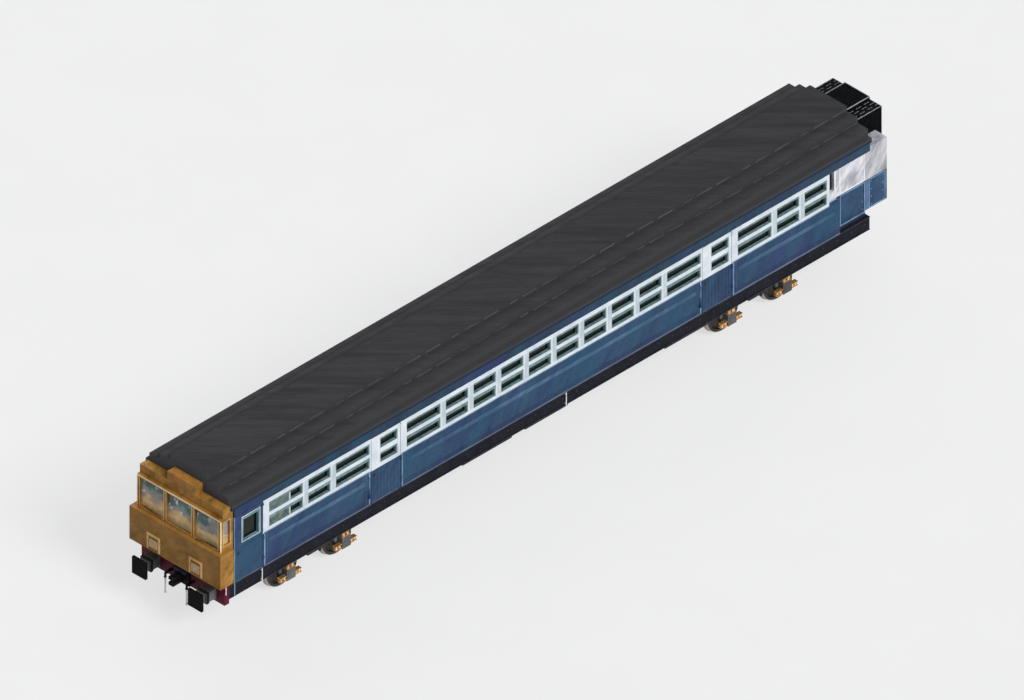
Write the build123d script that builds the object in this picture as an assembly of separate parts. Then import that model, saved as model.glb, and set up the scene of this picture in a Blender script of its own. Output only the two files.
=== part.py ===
from build123d import *
import os

os.makedirs("parts", exist_ok=True)

# Driving car of a two-car diesel multiple unit, in millimetres.
# +X is forward, +Y is the left side and +Z is up. The origin is at the bottom
# centre of the whole car: midway between the buffer faces and the gangway face,
# on the car's centre line, at the lowest point of the wheel flanges.

# ---------------------------------------------------------------- driving sizes
# Lengths along the car, from the buffers back to the gangway.
BUFFER_REACH = 250          # buffer face to nose face
NOSE_DEPTH = 500            # nose face to the back edge of the yellow front
NOSE_GROOVE = 42            # dark groove between the front and the side panels
CAB_DOOR_BAY = 910          # bay that holds the driver's door
END_PANE_BAY = 1190         # window bay next to a door
PANE_BAY = 840              # every other window bay
SIDE_DOOR_BAY = 960         # bay that holds a passenger door
MIDDLE_PANES = 8            # narrow bays between the two passenger doors
REAR_MARGIN = 60            # plain wall behind the last rear window
WAIST_OVERRUN = 330         # lower panels carry on past the upper ones
END_VESTIBULE = 910         # narrow end of the body, from the lower panels' end
GANGWAY_REACH = 875         # end wall to gangway face

# Widths, as half widths from the centre line.
HALF_BODY = 1260
NOSE_FLARE = 122            # the lower nose stands out beyond the body side
EAVE_OVERHANG = 52
SHOULDER_INSET = 60
END_INSET = 150             # the narrow end stands in from the body sides
WALL = 100                  # thickness of the body sides
FRONT_WALL = 80             # thickness of the nose and the windscreen surround
THIN_WALL = 40              # thickness of end boxes, brow and bellows frame
ROOF_SKIN = 45

# Heights above the rail.
SOLEBAR_BOTTOM = 850
FLOOR_TOP = 1190
FLOOR_THICKNESS = 70
WAIST = 2055
WINDOW_TOP = 2915
CANTRAIL_TOP = 3165
EAVE_TOP = 3280
SHOULDER_TOP = 3465
STEP_TOP = 3605
ROOF_TOP = 3740
STEP_INSET = 375
CROWN_INSET = 700

# Nose, windscreens and brow.
NOSE_BOTTOM = 1335
NOSE_TOP = 2200
FLARE_DEPTH = 410           # nose face to the back of its flared part
SCREEN_SETBACK = 121        # nose face back to the windscreen plane
SCREEN_TOP = 3050
BROW_SETBACK = 197
BROW_TOP = 3260
ROOF_SETBACK = 423
DOME_TOP = 3485
HALF_DOME = 425
SCREEN_HALF_MULLION = 45
SCREEN_MULLION_AT = 420
SCREEN_MARGIN = 75
CORNER_PANE_MARGIN = 90
CORNER_PANE_DROP = 40
SCREEN_SILL = 30
SCREEN_HEAD = 68
SEAL_INSET = 20
LAMP_SPREAD = 640
LAMP_WIDTH = 386
LAMP_FOOT = 1386
LAMP_HEAD = 1781
LAMP_BAR = 45
LAMP_PROUD = 25
LENS_WIDTH = 210
LENS_FOOT = 1470
LENS_HEAD = 1640

# Windows and doors.
MULLION = 165
PANE_SHIFT = 70             # panes sit this far back of the middle of their bay
FRAME_BAR = 110             # bars under and over the side windows
TRANSOM = 125
TRANSOM_HEIGHT = 2475
GLASS = 8
GLASS_SETBACK = 76          # outer face of the wall back to the glass
SCREEN_GLASS_SETBACK = 50   # windscreen plane back to the glass
GLASS_FIT = 0.3
DOOR_WIDTH = 880
DOOR_GAP = 12
DOOR_THICKNESS = 90
DOOR_PANE_REAR = 90         # hinge edge of a leaf to its window
DOOR_PANE_FRONT = 265       # latch edge of a passenger door to its window
CAB_PANE_FRONT = 200
HINGE_RADIUS = 11
HINGE_STANDOFF = 12         # hinge axis outside the body side
HINGE_PIN_RADIUS = 6
PIN_CLEARANCE = 0.1
HINGE_KNUCKLE = 60
HINGE_LEAF = 45
STACK_GAP = 0.3             # between parts that turn on each other
HINGE_STRAP = 8
HINGE_HEIGHTS = [1400, 1920, 2760]
DOOR_HEAD_RAIL = 98
CAB_POST = 30

# Underframe and ends.
SOLEBAR_WEB = 25
SOLEBAR_FLANGE = 20
SOLEBAR_DEPTH = 100
SOLEBAR_WEB_INSET = 15
HEADSTOCK_SETBACK = 250     # nose face back to the buffer beam
HEADSTOCK_DEPTH = 140       # at its corner posts
HEADSTOCK_PLATE = 60
HEADSTOCK_BOTTOM = 745
REAR_BEAM_DEPTH = 110
SILL_INNER = 320
SILL_WIDTH = 70
SILL_BOTTOM = 1000
CROSS_BEAM = 60
CROSS_BEAM_SETBACKS = [1500, 2350, 4150, 7200, 9300, 11150, 13620, 15450, 17850, 18900]
CENTRE_BOSS_RADIUS = 210
CENTRE_BOSS_BOTTOM = 985
DOORWAY_HALF = 340
DOORWAY_TOP = 3130
END_WALL = 50
GANGWAY_DOOR = 40
SLIT_MARGIN = 165
SLIT_WIDTH = 130
SLIT_SILL = 200
CORNER_BOX_GAP = 10         # between the bellows and a corner box
CORNER_BOX_REACH = 660
CORNER_BOX_FOOT = 1270
CORNER_BOX_TOP = 2885
BELLOWS_HALF = 740
BELLOWS_TOP = 3400
BELLOWS_BOTTOM = 1200
BELLOWS_WALL = 110
BELLOWS_PLATE_HALF = 378
BELLOWS_PLATE = 60

# Buffers and couplings.
BUFFER_SPREAD = 850         # centre line to each buffer
BUFFER_HEIGHT = 935
BUFFER_WIDTH = 415
BUFFER_TALL = 430
BUFFER_PLATE = 65
BUFFER_SHANK = 210
FOOT_WIDTH = 320            # foot flange of a buffer housing, on the beam
FOOT_TALL = 290
FOOT_THICKNESS = 25
HOUSING_WIDTH = 280
HOUSING_TALL = 250
HOUSING_LENGTH = 190
COLLAR_WIDTH = 310          # collar round the mouth of a buffer housing
COLLAR_TALL = 270
COLLAR_LENGTH = 80
JAW_WIDTH = 140
JAW_TALL = 220
JAW_SLOT = 70
JAW_SLOT_DEPTH = 190
JAW_EYE_RADIUS = 32
JAW_REACH = 335
JAW_HEIGHT = 945
JAW_PLATE = 40
JAW_PLATE_HALF = 225
JAW_PLATE_TALL = 400
COUPLER_SIZE = 130
COUPLER_EYE_RADIUS = 40
COUPLER_HEIGHT = 940

# Running gear.
FLANGE_DEPTH = 30
WHEEL_RADIUS = 457
WHEEL_BACK_TO_BACK = 1360
TREAD_WIDTH = 135
WHEEL_FLANGE = 32
WHEEL_WEB = 40
RIM_DEPTH = 75
HUB_RADIUS = 150
HUB_OVERHANG = 18
FLANGE_BEVEL = 9
AXLE_COLLAR = 17
AXLE_RADIUS = 82
JOURNAL_RADIUS = 62
WHEELBASE = 1680
FRONT_PIVOT = 3250          # nose face back to the leading bogie's pivot
BOGIE_SPREAD = 13400        # between the bogie pivots
BOGIE_HALF_LENGTH = 1290
SIDE_FRAME_INNER = 930
SIDE_FRAME_THICKNESS = 90
SIDE_FRAME_TOP = 790
SIDE_FRAME_BOTTOM = 560
PEDESTAL_BOTTOM = 330
PEDESTAL_LEG = 110
SIDE_FRAME_BAR = 640          # underside of the side frame's top bar
BOLSTER_HALF = 230
BOLSTER_TOP = 930
BOLSTER_BOTTOM = 640
PIVOT_RADIUS = 70
PIVOT_PLATE_RADIUS = 200
PIVOT_HEIGHT = 110            # centre pin above its plate
PIVOT_END_GAP = 15
AXLEBOX_WIDTH = 260
AXLEBOX_HEIGHT = 290
AXLEBOX_OUTER = 1130
AXLEBOX_END_COVER = 26
SPRING_WIDTH = 250
SPRING_HEIGHT = 120
SPRING_DEPTH = 105
SIDE_SPRING_WIDTH = 190
SIDE_SPRING_HEIGHT = 110
SIDE_SPRING_LIFT = 35
DAMPER_OFFSET = 130
DAMPER_WIDTH = 70
DAMPER_BOTTOM = 590

# Underfloor gear and fittings inside.
ENGINE_LENGTH = 1900
ENGINE_INSET = 810          # engine side in from the body side
ENGINE_HEIGHT = 430
ENGINE_BOTTOM = 560
ENGINE_HANGER = 160
ENGINE_SETBACKS = [4870, 11650]
BOX_PLACES = [(7600, 1500, "LR"), (9500, 1300, "LR"), (13750, 1500, "LR")]
BOX_WIDTH = 480
BOX_BOTTOM = 700
BOX_TO_SOLEBAR = 20
SEAT_WIDTH = 840
SEAT_HEIGHT = 430
SEAT_DEPTH = 480
SEAT_BACK = 1120
SEAT_THICKNESS = 110
SEAT_TO_WALL = 5
PARTITION = 30
DRIVER_SEAT_Y = 520
DRIVER_SEAT_WIDTH = 480
DRIVER_SEAT_SETBACK = 560
DESK_TO_BACK = 30
DESK_TO_NOSE = 10
DESK_TOP = 2080
DESK_SLOPE = 120
DESK_TO_SIDE = 80             # driver's desk to the inner face of each nose side

# ------------------------------------------------------------- derived stations
MIDDLE_BAND = 2 * END_PANE_BAY + MIDDLE_PANES * PANE_BAY
FRONT_BAND = 2 * END_PANE_BAY + PANE_BAY
REAR_BAND = END_PANE_BAY + 2 * PANE_BAY
LENGTH = (
    BUFFER_REACH + NOSE_DEPTH + NOSE_GROOVE + CAB_DOOR_BAY + FRONT_BAND
    + SIDE_DOOR_BAY + MIDDLE_BAND + SIDE_DOOR_BAY + REAR_BAND + REAR_MARGIN
    + WAIST_OVERRUN + END_VESTIBULE + GANGWAY_REACH
)
X_BUFFER = LENGTH / 2
X_NOSE = X_BUFFER - BUFFER_REACH
X_SCREEN = X_NOSE - SCREEN_SETBACK
X_BROW = X_NOSE - BROW_SETBACK
X_ROOF = X_NOSE - ROOF_SETBACK
X_NOSE_BACK = X_NOSE - NOSE_DEPTH
X_BODY = X_NOSE_BACK - NOSE_GROOVE
X_CAB_END = X_BODY - CAB_DOOR_BAY
X_DOOR_1 = X_CAB_END - FRONT_BAND
X_BAND_2 = X_DOOR_1 - SIDE_DOOR_BAY
X_DOOR_2 = X_BAND_2 - MIDDLE_BAND
X_BAND_3 = X_DOOR_2 - SIDE_DOOR_BAY
X_UPPER_END = X_BAND_3 - REAR_BAND - REAR_MARGIN
X_LOWER_END = X_UPPER_END - WAIST_OVERRUN
X_END = X_LOWER_END - END_VESTIBULE
X_GANGWAY = X_END - GANGWAY_REACH
HALF_END = HALF_BODY - END_INSET
HALF_NOSE = HALF_BODY + NOSE_FLARE
HALF_ROOF = HALF_BODY + EAVE_OVERHANG
HALF_SHOULDER = HALF_BODY - SHOULDER_INSET
HALF_STEP = HALF_BODY - STEP_INSET
HALF_CROWN = HALF_BODY - CROWN_INSET
SOLEBAR_INNER = HALF_BODY - SOLEBAR_DEPTH
SOLEBAR_WEB_OUTER = HALF_BODY - SOLEBAR_WEB_INSET
CORNER_BOX_INNER = BELLOWS_HALF + CORNER_BOX_GAP
PIVOT_X = [X_NOSE - FRONT_PIVOT, X_NOSE - FRONT_PIVOT - BOGIE_SPREAD]
RAIL = FLANGE_DEPTH
AXLE_Z = RAIL + WHEEL_RADIUS
STRAP_Y = HINGE_STRAP / 2 - HINGE_STANDOFF


def block(x0, x1, y0, y1, z0, z1):
    """Box between two corners, with heights measured above the rail."""
    box = Box(abs(x1 - x0), abs(y1 - y0), abs(z1 - z0))
    return Pos((x0 + x1) / 2, (y0 + y1) / 2, RAIL + (z0 + z1) / 2) * box


def pair(x0, x1, y0, y1, z0, z1):
    """The same box on the left and on the right side."""
    left = block(x0, x1, y0, y1, z0, z1)
    return [left, mirror(left, Plane.XZ)]


def both(shape):
    """A left-hand shape and its mirror image on the right."""
    return [shape, mirror(shape, Plane.XZ)]


def upright(radius, height, x, y, z):
    """Vertical cylinder whose foot is at height z above the rail."""
    return Pos(x, y, RAIL + z + height / 2) * Cylinder(radius, height)


def across(radius, width, x, y, z):
    """Cylinder along Y, centred at y, with its axis at height z above the rail."""
    return Pos(x, y, RAIL + z) * Rot(90, 0, 0) * Cylinder(radius, width)


def save(name, shapes):
    """Write one node from a shape or a list of separate shapes."""
    solids = []
    for shape in shapes if isinstance(shapes, list) else [shapes]:
        solids.extend(shape.solids())
    node = solids[0] if len(solids) == 1 else Compound(children=solids)
    export_step(node, f"parts/{name}.step")


# ------------------------------------------------------------------------ hinges
# A hinge is built with its axis at the origin, the leaf towards +X, the jamb
# towards -X and the outside of the car towards +Y.
def jamb_knuckle():
    """Lower knuckle with its pin, on a strap that lies on the jamb."""
    middle = HINGE_KNUCKLE / 2
    knuckle = Pos(0, 0, middle) * Cylinder(HINGE_RADIUS, HINGE_KNUCKLE)
    pin = Pos(0, 0, HINGE_KNUCKLE) * Cylinder(HINGE_PIN_RADIUS, 2 * HINGE_KNUCKLE)
    strap = Pos(-HINGE_LEAF / 2, STRAP_Y, middle) * Box(HINGE_LEAF, HINGE_STRAP, HINGE_KNUCKLE)
    return knuckle + pin + strap


def leaf_knuckle():
    """Upper knuckle, bored for the pin, on a strap that lies on the leaf."""
    tall = HINGE_KNUCKLE - STACK_GAP
    middle = HINGE_KNUCKLE + STACK_GAP + tall / 2
    knuckle = Pos(0, 0, middle) * Cylinder(HINGE_RADIUS, tall)
    strap = Pos(HINGE_LEAF / 2, STRAP_Y, middle) * Box(HINGE_LEAF, HINGE_STRAP, tall)
    bore = Pos(0, 0, middle) * Cylinder(HINGE_PIN_RADIUS + PIN_CLEARANCE, 2 * HINGE_KNUCKLE)
    return knuckle + strap - bore


# ----------------------------------------------------------------- doors and bays
DOOR_OPENING = DOOR_WIDTH + 2 * DOOR_GAP
CAB_LEAF = CAB_DOOR_BAY - 2 * CAB_POST - 2 * DOOR_GAP
DOOR_FOOT = FLOOR_TOP + DOOR_GAP
DOOR_HEAD = WINDOW_TOP - DOOR_GAP


def leaf_spans():
    """Name, low X, high X and pane margin of each door leaf on one side."""
    side_post = (SIDE_DOOR_BAY - DOOR_OPENING) / 2
    spans = [("cab_door", X_CAB_END + CAB_POST + DOOR_GAP, CAB_LEAF)]
    spans.append(("front_door", X_BAND_2 + side_post + DOOR_GAP, DOOR_WIDTH))
    spans.append(("rear_door", X_BAND_3 + side_post + DOOR_GAP, DOOR_WIDTH))
    return [(name, low, low + width) for name, low, width in spans]


def hinge_axis(low):
    """X and Y of the hinge axis of the left-hand leaf that starts at X = low."""
    return low - DOOR_GAP / 2, HALF_BODY + HINGE_STANDOFF


def door_leaf(low, high, lights):
    """Left-hand door leaf with its window cut and its hinge knuckles."""
    inner = HALF_BODY - DOOR_THICKNESS
    leaf = block(low, high, inner, HALF_BODY, DOOR_FOOT, DOOR_HEAD)
    leaf -= door_panes(low, high, inner - 1, HALF_BODY + 1, 0, lights)
    x, y = hinge_axis(low)
    for height in HINGE_HEIGHTS:
        leaf += Pos(x, y, RAIL + height) * leaf_knuckle()
    return leaf


def door_panes(low, high, inner, outer, fit, lights):
    """Boxes of a door's one or two lights, made smaller all round by the fit."""
    foot = WAIST + FRAME_BAR + fit
    head = DOOR_HEAD - DOOR_HEAD_RAIL - fit
    near = low + DOOR_PANE_REAR + fit
    far = high - (CAB_PANE_FRONT if lights == 1 else DOOR_PANE_FRONT) - fit
    if lights == 1:
        return [block(near, far, inner, outer, foot, head)]
    below = TRANSOM_HEIGHT - TRANSOM / 2 - fit
    above = TRANSOM_HEIGHT + TRANSOM / 2 + fit
    return [block(near, far, inner, outer, *span) for span in ((foot, below), (above, head))]


def glass_layer():
    """Inner and outer Y of the glass in the left side."""
    outer = HALF_BODY - GLASS_SETBACK
    return outer - GLASS, outer


def door_nodes():
    """Leaf and glass of the three doors on each side."""
    for name, low, high in leaf_spans():
        lights = 1 if name == "cab_door" else 2
        leaf = door_leaf(low, high, lights)
        panes = door_panes(low, high, *glass_layer(), GLASS_FIT, lights)
        save(f"{name}_left", leaf)
        save(f"{name}_right", mirror(leaf, Plane.XZ))
        save(f"{name}_glass_left", panes)
        save(f"{name}_glass_right", [mirror(pane, Plane.XZ) for pane in panes])


door_nodes()


# ------------------------------------------------------------------ body sides
def wall_spans(rear):
    """X spans of the side walls between the doors, front to back."""
    edges = [X_BODY]
    for _, low, high in leaf_spans():
        edges += [high + DOOR_GAP, low - DOOR_GAP]
    edges.append(rear)
    return [(edges[i + 1], edges[i]) for i in range(0, len(edges), 2)]


def with_hinges(wall, heights):
    """A left wall piece with the jamb knuckles that stand on it."""
    box = wall.bounding_box()
    for _, low, _ in leaf_spans():
        x, y = hinge_axis(low)
        if box.min.X < x - HINGE_LEAF and x - HINGE_LEAF < box.max.X and x > box.max.X - DOOR_GAP:
            for height in heights:
                wall += Pos(x, y, RAIL + height) * jamb_knuckle()
    return wall


def band_panes():
    """X spans of the window bays of the three bands, front to back."""
    bands = []
    for front, narrow, last in (
        (X_CAB_END, 1, END_PANE_BAY),
        (X_BAND_2, MIDDLE_PANES, END_PANE_BAY),
        (X_BAND_3, 1, PANE_BAY),
    ):
        bays = [END_PANE_BAY] + [PANE_BAY] * narrow + [last]
        x = front
        for bay in bays:
            bands.append((x - bay, x))
            x -= bay
    return bands


def light_boxes(inner, outer, fit):
    """Upper and lower light of every window bay, made smaller by the fit."""
    side = MULLION / 2 + fit
    half_bar = TRANSOM / 2
    rows = [
        (WAIST + FRAME_BAR + fit, TRANSOM_HEIGHT - half_bar - fit),
        (TRANSOM_HEIGHT + half_bar + fit, WINDOW_TOP - FRAME_BAR - fit),
    ]
    lights = []
    for low, high in band_panes():
        rear = low - PANE_SHIFT + side
        front = high - PANE_SHIFT - side
        for foot, head in rows:
            lights.append(block(rear, front, inner, outer, foot, head))
    return lights


def slit_pane(inner, outer, fit):
    """Box of the slit window at the front of the narrow end."""
    high = X_UPPER_END - SLIT_MARGIN - fit
    low = X_UPPER_END - SLIT_MARGIN - SLIT_WIDTH + fit
    return block(low, high, inner, outer, WAIST + SLIT_SILL + fit, WINDOW_TOP - FRAME_BAR - fit)


def side_nodes():
    """Lower panels, window bands, panes and cantrails of both sides."""
    inner = HALF_BODY - WALL
    lower = []
    for low, high in wall_spans(X_LOWER_END):
        panel = block(low, high, inner, HALF_BODY, FLOOR_TOP, WAIST)
        lower += both(with_hinges(panel, HINGE_HEIGHTS[:2]))
    save("lower_panels", lower)

    holes = light_boxes(inner - 1, HALF_BODY + 1, 0)
    bands = []
    for low, high in wall_spans(X_UPPER_END):
        band = block(low, high, inner, HALF_BODY, WAIST, WINDOW_TOP)
        band -= [hole for hole in holes if low < hole.center().X < high]
        bands += both(with_hinges(band, HINGE_HEIGHTS[2:]))
    save("window_bands", bands)

    glass_inner, glass_outer = glass_layer()
    panes = []
    for pane in light_boxes(glass_inner, glass_outer, GLASS_FIT):
        panes += both(pane)
    slit_outer = HALF_END - GLASS_SETBACK
    panes += both(slit_pane(slit_outer - GLASS, slit_outer, GLASS_FIT))
    save("side_windows", panes)

    save("cantrails", pair(X_END, X_BODY, inner, HALF_BODY, WINDOW_TOP, CANTRAIL_TOP))


side_nodes()


# ------------------------------------------------------------------------- roof
def roof_section(half_widths, heights, foot):
    """Stepped half section mirrored to a full face in the YZ plane."""
    right = [(0, foot)]
    right.append((half_widths[0], foot))
    for index, height in enumerate(heights):
        right.append((half_widths[index], height))
        if index + 1 < len(half_widths):
            right.append((half_widths[index + 1], height))
    right.append((0, heights[-1]))
    points = right + [(-y, z) for y, z in reversed(right[1:-1])]
    return make_face(Polyline(*[(y, RAIL + z) for y, z in points], close=True))


def stepped(half_widths, heights, foot, front, rear):
    """Stepped section drawn from X = rear to X = front."""
    section = roof_section(half_widths, heights, foot)
    body = extrude(section, front - rear, dir=(0, 0, 1))
    return Pos(rear, 0, 0) * Plane.YZ.location * body


def roof_node():
    """Hollow stepped roof, closed by a plate at each end."""
    widths = [HALF_ROOF, HALF_SHOULDER, HALF_STEP, HALF_CROWN]
    heights = [EAVE_TOP, SHOULDER_TOP, STEP_TOP, ROOF_TOP]
    outer = stepped(widths, heights, CANTRAIL_TOP, X_ROOF, X_END)
    inner_widths = [width - ROOF_SKIN for width in widths[1:]]
    inner_heights = [height - ROOF_SKIN for height in heights[1:]]
    inner = stepped(
        inner_widths, inner_heights, CANTRAIL_TOP - 1, X_ROOF - ROOF_SKIN, X_END + ROOF_SKIN
    )
    save("roof", outer - inner)


roof_node()


# --------------------------------------------------------------------- cab front
def nose_node():
    """Hollow lower nose: flared front, sides, ledge and floor, open at the back."""
    flare = X_NOSE - FLARE_DEPTH
    outer = block(flare, X_NOSE, -HALF_NOSE, HALF_NOSE, NOSE_BOTTOM, NOSE_TOP)
    outer += block(X_NOSE_BACK, flare, -HALF_BODY, HALF_BODY, NOSE_BOTTOM, NOSE_TOP)
    half = HALF_NOSE - FRONT_WALL
    foot = NOSE_BOTTOM + THIN_WALL
    head = NOSE_TOP - THIN_WALL
    inner = block(flare + THIN_WALL, X_NOSE - FRONT_WALL, -half, half, foot, head)
    half = HALF_BODY - FRONT_WALL
    well = block(X_NOSE_BACK - 1, X_SCREEN - FRONT_WALL, -half, half, foot, NOSE_TOP + 1)
    save("nose_box", outer - inner - well)


def screen_boxes(front, rear, side_inner, side_outer, fit):
    """Boxes of the three windscreens and of the left corner window."""
    foot = NOSE_TOP + SCREEN_SILL + fit
    head = SCREEN_TOP - SCREEN_HEAD - fit
    middle = SCREEN_MULLION_AT - SCREEN_HALF_MULLION - fit
    near = SCREEN_MULLION_AT + SCREEN_HALF_MULLION + fit
    far = HALF_BODY - SCREEN_MARGIN - fit
    boxes = [block(rear, front, -middle, middle, foot, head)]
    boxes += pair(rear, front, near, far, foot, head)
    corner = block(
        X_NOSE_BACK + CORNER_PANE_MARGIN + fit, X_SCREEN - CORNER_PANE_MARGIN - fit,
        side_inner, side_outer, foot + CORNER_PANE_MARGIN, head - CORNER_PANE_DROP,
    )
    return boxes + both(corner)


def cab_front_nodes():
    """Windscreen surround, its panes, the brow and the seal behind them."""
    outer = block(X_NOSE_BACK, X_SCREEN, -HALF_BODY, HALF_BODY, NOSE_TOP, SCREEN_TOP)
    half = HALF_BODY - FRONT_WALL
    back = X_SCREEN - FRONT_WALL
    inside = block(X_NOSE_BACK - 1, back, -half, half, NOSE_TOP - 1, SCREEN_TOP + 1)
    holes = screen_boxes(X_SCREEN + 1, back - 1, half - 1, HALF_BODY + 1, 0)
    save("cab_front_frame", outer - inside - holes)

    front = X_SCREEN - SCREEN_GLASS_SETBACK
    side = HALF_BODY - SCREEN_GLASS_SETBACK
    panes = screen_boxes(front, front - GLASS, side - GLASS, side, GLASS_FIT)
    save("windscreens", panes)

    brow = block(X_NOSE_BACK, X_BROW, -HALF_BODY, HALF_BODY, SCREEN_TOP, CANTRAIL_TOP)
    brow += block(X_ROOF, X_BROW, -HALF_BODY, HALF_BODY, CANTRAIL_TOP, BROW_TOP)
    brow += block(X_ROOF, X_BROW, -HALF_DOME, HALF_DOME, BROW_TOP, DOME_TOP)
    face = X_BROW - THIN_WALL
    dome = HALF_DOME - THIN_WALL
    brow -= block(X_NOSE_BACK - 1, face, -half, half, SCREEN_TOP - 1, CANTRAIL_TOP + 1)
    brow -= block(X_ROOF - 1, face, -half, half, SCREEN_TOP, BROW_TOP - THIN_WALL)
    brow -= block(X_ROOF - 1, face, -dome, dome, SCREEN_TOP, DOME_TOP - THIN_WALL)
    save("cab_brow", brow)

    seal_outer = HALF_BODY - SEAL_INSET
    seal = pair(X_BODY, X_NOSE_BACK, half, seal_outer, NOSE_BOTTOM, CANTRAIL_TOP)
    save("cab_seals", seal)


def lamp_nodes():
    """Arched marker-lamp frames and their lenses on the nose."""
    frames = []
    lenses = []
    for centre in (-LAMP_SPREAD, LAMP_SPREAD):
        low = centre - LAMP_WIDTH / 2
        high = centre + LAMP_WIDTH / 2
        front = X_NOSE + LAMP_PROUD
        frame = block(X_NOSE, front, low, high, LAMP_FOOT, LAMP_HEAD)
        head = LAMP_HEAD - LAMP_BAR
        frame -= block(
            X_NOSE - 1, front + 1, low + LAMP_BAR, high - LAMP_BAR, LAMP_FOOT - 1, head
        )
        frames.append(frame)
        half = LENS_WIDTH / 2
        lenses.append(block(X_NOSE, front, centre - half, centre + half, LENS_FOOT, LENS_HEAD))
    save("lamp_frames", frames)
    save("marker_lamps", lenses)


nose_node()
cab_front_nodes()
lamp_nodes()


# ---------------------------------------------------------------------- interior
def partition_node():
    """Full-height screens on both sides of the aisle at the cab and the doors."""
    screens = []
    inner = HALF_BODY - WALL
    half = PARTITION / 2
    for x in (X_CAB_END, X_DOOR_1, X_BAND_2, X_DOOR_2, X_BAND_3):
        screens += pair(x - half, x + half, DOORWAY_HALF, inner, FLOOR_TOP, CANTRAIL_TOP)
    save("partitions", screens)


def seat(x, inner_y, outer_y):
    """Forward-facing seat with its back at X = x."""
    profile = [
        (0, 0),
        (SEAT_DEPTH - SEAT_THICKNESS, 0),
        (SEAT_DEPTH, SEAT_HEIGHT - SEAT_THICKNESS),
        (SEAT_DEPTH, SEAT_HEIGHT),
        (SEAT_THICKNESS, SEAT_HEIGHT),
        (SEAT_THICKNESS, SEAT_BACK),
        (0, SEAT_BACK),
    ]
    points = [(x + along, RAIL + FLOOR_TOP + up) for along, up in profile]
    face = Plane.XZ * make_face(Polyline(*points, close=True))
    return Pos(0, outer_y, 0) * extrude(face, outer_y - inner_y)


def seat_node():
    """Rows of double seats in every bay, and the driver's seat."""
    seats = []
    outer_y = HALF_BODY - WALL - SEAT_TO_WALL
    for low, high in band_panes():
        back = (low + high - SEAT_DEPTH) / 2
        seats += both(seat(back, outer_y - SEAT_WIDTH, outer_y))
    near = DRIVER_SEAT_Y - DRIVER_SEAT_WIDTH / 2
    seats.append(seat(X_NOSE_BACK - DRIVER_SEAT_SETBACK, near, near + DRIVER_SEAT_WIDTH))
    save("seats", seats)


def desk_node():
    """Driver's desk across the nose, standing on the nose floor."""
    back = X_NOSE_BACK + DESK_TO_BACK
    front = X_NOSE - FRONT_WALL - DESK_TO_NOSE
    foot = NOSE_BOTTOM + THIN_WALL
    half = HALF_BODY - FRONT_WALL - DESK_TO_SIDE
    points = [
        (back, foot),
        (front, foot),
        (front, DESK_TOP),
        (back + DESK_SLOPE, DESK_TOP),
        (back, DESK_TOP - DESK_SLOPE),
    ]
    face = Plane.XZ * make_face(Polyline(*[(x, RAIL + z) for x, z in points], close=True))
    save("driver_desk", Pos(0, half, 0) * extrude(face, 2 * half))


partition_node()
seat_node()
desk_node()


# --------------------------------------------------------------------- inner end
def vestibule_node():
    """Narrow side walls behind the saloon, each with a slit window."""
    outer = HALF_END
    inner = HALF_END - WALL
    side = HALF_BODY - WALL
    rear = X_END + END_WALL
    ceiling = WINDOW_TOP + THIN_WALL
    lower = X_LOWER_END + THIN_WALL
    upper = X_UPPER_END + THIN_WALL
    wall = block(rear, lower, inner, outer, FLOOR_TOP, WAIST)
    wall += block(rear, upper, inner, outer, WAIST - THIN_WALL, ceiling)
    wall += block(X_LOWER_END, lower, inner, side, FLOOR_TOP, WAIST)
    wall += block(X_LOWER_END, upper, inner, side, WAIST - THIN_WALL, WAIST)
    wall += block(X_UPPER_END, upper, inner, side, WAIST - THIN_WALL, ceiling)
    wall += block(rear, upper, inner, side, WINDOW_TOP, ceiling)
    wall -= slit_pane(inner - 1, outer + 1, 0)
    save("vestibule_panels", both(wall))


def end_wall_shape():
    """End wall with the gangway doorway, wider above the narrow end."""
    wall = block(X_END, X_END + END_WALL, -HALF_END, HALF_END, FLOOR_TOP, CANTRAIL_TOP)
    side = HALF_BODY - WALL
    wall += block(X_END, X_END + END_WALL, -side, side, WINDOW_TOP, CANTRAIL_TOP)
    wall -= block(
        X_END - 1, X_END + END_WALL + 1, -DOORWAY_HALF, DOORWAY_HALF, FLOOR_TOP - 1, DOORWAY_TOP
    )
    return wall


GANGWAY_AXIS = (X_END + END_WALL + HINGE_STANDOFF, DOORWAY_HALF - DOOR_GAP / 2)


def gangway_hinges(knuckle):
    """Three knuckles on the gangway door's axis, opening into the car."""
    turned = Rot(0, 0, -90) * knuckle()
    return [Pos(*GANGWAY_AXIS, RAIL + height) * turned for height in HINGE_HEIGHTS]


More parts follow.
